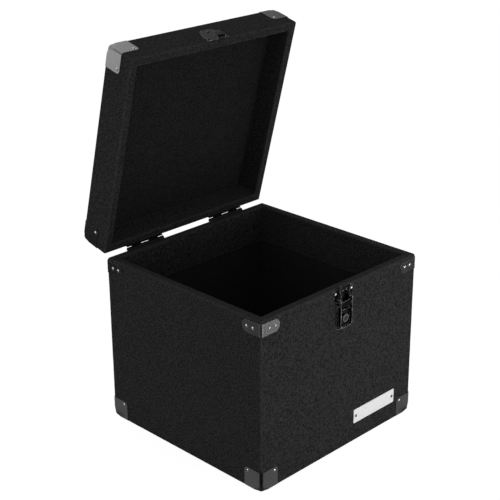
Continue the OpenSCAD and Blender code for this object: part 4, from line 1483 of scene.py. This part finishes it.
@dataclass
class CarryHandle:
    """Moulded handle that folds on the lid's top. Sizes in mm, in the lid's closed place."""

    finishes: Finishes
    opened: Matrix
    span: float = 124.0
    reach: float = 36.0
    pivot_z: float = 359.6
    arm_r: float = 6.0
    grip_r: float = 9.2
    elbow_r: float = 14.0
    pin_r: float = 2.55
    eye_ease: float = 0.8
    sides: int = 40
    steps: int = 60
    ribs: int = 15
    rib_depth: float = 0.35

    def path(self) -> list[tuple[Vector, float]]:
        """Lists the bar's points and radii from one eye to the other.

        Returns:
            Points in mm, with the radius at each.
        """
        half, elbow = self.span / 2, self.elbow_r
        points = [(Vector((-half, self.reach * k * 0.1, 0.0)), self.arm_r) for k in range(0, 6)]
        for k in range(9):
            turn = math.pi / 2 * k / 8
            x = -half + elbow - elbow * math.cos(turn)
            y = self.reach - elbow + elbow * math.sin(turn)
            points.append((Vector((x, y, 0.0)), self.arm_r))
        arm_points = len(points)
        straight = half - elbow
        for k in range(1, self.steps):
            share = k / self.steps
            swell = self.arm_r + (self.grip_r - self.arm_r) * math.sin(math.pi * share)
            wave = math.sin(math.pi * (self.ribs * share)) ** 2 * min(1.0, 6 * share, 6 * (1 - share))
            x = -straight + 2 * straight * share
            points.append((Vector((x, self.reach, 0.0)), swell - self.rib_depth * wave))
        return points + [(Vector((-p.x, p.y, p.z)), r) for p, r in reversed(points[:arm_points])]

    def build(self) -> None:
        """Builds and dresses the handle."""
        spots, radii = zip(*[(spot * MM, radius * MM) for spot, radius in self.path()])
        edges = [(k, k + 1) for k in range(len(spots) - 1)]
        values = {"Sides": self.sides, "Finish": self.finishes["plastic"]}
        bar = grown("handle_bar", spots, edges, "bar_radius", radii, Growth().bar(), values)
        bm = bmesh.new()
        bm.from_mesh(bar.data)
        bmesh.ops.remove_doubles(bm, verts=bm.verts, dist=MERGE)
        bmesh.ops.recalc_face_normals(bm, faces=bm.faces)
        for side in (-1, 1):
            self.add_eye(bm, side)
        lift = Matrix.Translation((0.0, 0.0, self.pivot_z * MM))
        bm.transform(self.opened @ lift)
        bpy.data.objects.remove(bar)
        piece = mesh_object("carry_handle", bm, sharp_deg=50)
        finish_piece(piece, Body.HANDLE, Slot.PLASTIC, self.finishes["plastic"], "handle")

    def add_eye(self, bm: BMesh, side: int) -> None:
        """Adds the eye that turns on a handle pin.

        Args:
            bm: the handle's mesh.
            side: -1 for the left eye and 1 for the right one.
        """
        half, r, ease = self.arm_r, self.arm_r, self.eye_ease
        outline = [
            (self.pin_r, -half), (r - ease, -half), (r - ease * 0.3, -half + ease * 0.3), (r, -half + ease),
            (r, half - ease), (r - ease * 0.3, half - ease * 0.3), (r - ease, half), (self.pin_r, half),
        ]
        turns = [2 * math.pi * k / self.sides for k in range(self.sides)]
        rings = []
        for radius, along in outline:
            x = side * self.span / 2 + along
            spots = [(x * MM, radius * math.cos(t) * MM, radius * math.sin(t) * MM) for t in turns]
            rings.append([bm.verts.new(spot) for spot in spots])
        bmesh.ops.recalc_face_normals(bm, faces=stitch(bm, rings, loop=True))


@dataclass
class Carcass:
    """Plywood panels, which the frame's own solids show well."""

    finishes: Finishes
    walls: tuple[str, ...] = ("front", "rear", "left", "right")

    def build(self) -> None:
        """Gives every panel its plywood."""
        panels = [f"base_{wall}" for wall in self.walls] + ["base_bottom", "lid_top"]
        for name in panels + [f"lid_{wall}" for wall in self.walls]:
            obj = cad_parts[f"{name}_panel"]
            obj.data.materials.clear()
            obj.data.materials.append(self.finishes["plywood"])
            log.info("%s: plywood", obj.name)


@dataclass(frozen=True)
class SoftLamp:
    """One soft lamp of the studio. Sizes in metres."""

    name: str
    at: Point
    aim: Point
    size: float
    watts: float


@dataclass
class Studio:
    """Pale floor, white surroundings, soft lamps and the camera. Sizes in metres."""

    lens: float = 90.484
    sensor: float = 36.0
    azimuth: float = -45.196
    elevation: float = 22.328
    roll: float = -0.3028
    eye: Point = (-1.36333, -1.32741, 1.08424)
    ambient: float = 0.48
    bright_side: Point = (0.7071, 0.7071, 0.0)
    left_side: Point = (-0.7071, 0.7071, 0.0)
    # centre of the floor's painted contact shadow, folded to all four corners of the case
    corner: Point = (0.18, 0.174, 0.0)
    white: float = 1.17
    # tones of the floor by distance as reflections see it: painted shade round the case, white far off
    rings: tuple[tuple[float, float], ...] = (
        (0.3, 0.22), (0.64, 0.18), (0.8, 0.02), (1.6, 0.02), (2.3, 1.15),
    )
    lamps: tuple[SoftLamp, ...] = (
        SoftLamp("front", (0.2, -1.0, 0.15), (0.0, -0.17, 0.12), 0.5, 5.4),
        SoftLamp("left", (-1.5, 0.2, 0.75), (-0.18, 0.0, 0.3), 0.8, 4.1),
        SoftLamp("overhead", (0.1, 0.1, 2.2), (0.0, 0.0, 0.2), 1.2, 0.8),
    )

    def build(self) -> None:
        """Builds the surroundings."""
        self.camera()
        self.world()
        self.floor()
        for lamp in self.lamps:
            self.hang(lamp)

    def camera(self) -> None:
        """Places the camera where the photograph was taken from."""
        data = bpy.data.cameras.new("camera")
        data.lens = self.lens
        data.sensor_width = self.sensor
        data.clip_start, data.clip_end = 0.05, 50.0
        a, e, roll = math.radians(self.azimuth), math.radians(self.elevation), math.radians(self.roll)
        back = Vector((math.sin(a) * math.cos(e), -math.cos(a) * math.cos(e), math.sin(e)))
        right = Vector((math.cos(a), math.sin(a), 0.0))
        up = back.cross(right)
        turned_right = right * math.cos(roll) + up * math.sin(roll)
        turned_up = up * math.cos(roll) - right * math.sin(roll)
        columns = Matrix((turned_right, turned_up, back)).transposed()
        obj = linked("camera", data)
        obj.matrix_world = Matrix.Translation(self.eye) @ columns.to_4x4()
        bpy.context.scene.camera = obj

    def bearings(self, graph: Graph, spot: Triple) -> tuple[NodeSocket, ...]:
        """Gives what the surroundings are lit by.

        Args:
            graph: the nodes of the world or the floor.
            spot: place or heading that is lit.

        Returns:
            Masks of rays to the eye and of reflected rays, and how far behind and how far left the spot is.
        """
        rays = graph.add("ShaderNodeLightPath").outputs
        seen = graph.calc("MAXIMUM", rays["Is Camera Ray"], rays["Is Transmission Ray"])
        sides = [graph.vector("DOT_PRODUCT", spot, side) for side in (self.bright_side, self.left_side)]
        return (seen, rays["Is Glossy Ray"], *sides)

    def world(self) -> None:
        """Makes the surroundings white to the eye and soft to the case.

        Reflections see the white behind the case too, dimmed in the dark room before it and overhead,
        except up on the left.
        """
        world = bpy.data.worlds.new("studio")
        bpy.context.scene.world = world
        world.use_nodes = True
        graph = Graph(world.node_tree)
        heading = graph.add("ShaderNodeTexCoord").outputs["Generated"]
        seen, glossy, towards, leftwards = self.bearings(graph, heading)
        plain = graph.remap(seen, 0.0, 1.0, self.ambient, 1.0)
        height = graph.add("ShaderNodeSeparateXYZ", {0: heading}).outputs["Z"]
        behind = graph.remap(towards, -0.45, 0.3, 0.04, 1.0)
        above = graph.remap(leftwards, -0.14, -0.04, 0.1, 0.85)
        low = graph.remap(height, 0.1, 0.5, 1.0, above)
        strength = graph.blend(glossy, plain, graph.calc("MULTIPLY", behind, low), "FLOAT")
        graph.feed(graph.tree.nodes["Background"], {"Color": WHITE, "Strength": strength})

    def floor(self) -> None:
        """Lays the pale floor, which keeps a faint shadow of the case.

        Reflections see it white far behind it, as in a studio with one lit backdrop, with painted shade round
        the case and on the camera's side, a painted contact shadow at its corners, painted light to the right
        and a painted bright band.
        """
        bm = bmesh.new()
        bmesh.ops.create_grid(bm, x_segments=8, y_segments=8, size=6.0)
        obj = mesh_object("floor", bm)
        surface = Surface("pale_floor")
        seen, glossy, towards, leftwards = self.bearings(surface, surface.spot)
        plain = {"Base Color": (0.8, 0.8, 0.8, 1.0), "Roughness": 0.9, "Specular IOR Level": 0.0}
        surface.feed(surface.shader, plain)
        # painted shade on the floor for reflections, by distance from the case
        reach = self.rings[-1][0]
        distance = surface.calc("DIVIDE", surface.vector("LENGTH", surface.spot), reach)
        rings = surface.add("ShaderNodeValToRGB", {"Fac": distance})
        ramp = rings.color_ramp
        while len(ramp.elements) < len(self.rings):
            ramp.elements.new(0.5)
        for element, (radius, tone) in zip(ramp.elements, self.rings):
            element.position = radius / reach
            element.color = (tone, tone, tone, 1.0)
        # painted shade on the camera's side, painted light to the right and a painted bright band further out
        behind = surface.remap(towards, -0.264, -0.256, 0.02, 1.0)
        right = surface.remap(leftwards, -0.55, -0.4, 2.7, 1.0)
        near_edge = surface.remap(towards, -0.375, -0.345, 1.0, 0.0)
        far_edge = surface.remap(towards, -0.7, -0.62, 0.0, 0.32)
        # painted contact shadow round each bottom corner of the case, seen only by reflections
        folded = surface.vector("ABSOLUTE", surface.spot, output="Vector")
        painted_contact_shadow = surface.remap(surface.vector("DISTANCE", folded, self.corner), 0.006, 0.02, 0.1, 1.0)
        painted_floor_shade = surface.calc("MULTIPLY", rings.outputs["Color"], behind, painted_contact_shadow)
        painted_floor_shade = surface.calc("ADD", painted_floor_shade, surface.calc("MULTIPLY", near_edge, far_edge))
        glow = surface.blend(glossy, self.white, surface.calc("MULTIPLY", painted_floor_shade, right), "FLOAT")
        pale = surface.add("ShaderNodeEmission", {"Color": WHITE, "Strength": glow})
        share = surface.calc("MAXIMUM", surface.calc("MULTIPLY", seen, 0.8), glossy)
        shaders = {0: share, 1: surface.shader.outputs[0], 2: pale.outputs[0]}
        mixed = surface.add("ShaderNodeMixShader", shaders)
        surface.feed(surface.tree.nodes["Material Output"], {"Surface": mixed.outputs[0]})
        obj.data.materials.append(surface.material)

    def hang(self, lamp: SoftLamp) -> None:
        """Hangs a soft lamp that faces the case.

        Args:
            lamp: the lamp.
        """
        data = bpy.data.lights.new(lamp.name, "AREA")
        data.shape = "SQUARE"
        data.size = lamp.size
        data.energy = lamp.watts
        obj = linked(f"{lamp.name}_lamp", data)
        obj.location = lamp.at
        obj.rotation_mode = "QUATERNION"
        obj.rotation_quaternion = (Vector(lamp.aim) - Vector(lamp.at)).to_track_quat("-Z", "Y")


def main() -> None:
    """Builds the case and its surroundings in order."""
    logging.basicConfig(level=logging.INFO, format="%(message)s")
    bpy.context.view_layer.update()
    bpy.context.scene.view_settings.view_transform = "Standard"
    Studio().build()
    finishes = Finishes()
    Carcass(finishes).build()
    carpet = CarpetWork(finishes)
    carpet.build()
    MetalWork(finishes, carpet.lid_matrix(False)).build()
    Fasteners(finishes).build()
    CarryHandle(finishes, carpet.lid_matrix(False)).build()
    bpy.context.view_layer.update()


if __name__ == "__main__":
    main()
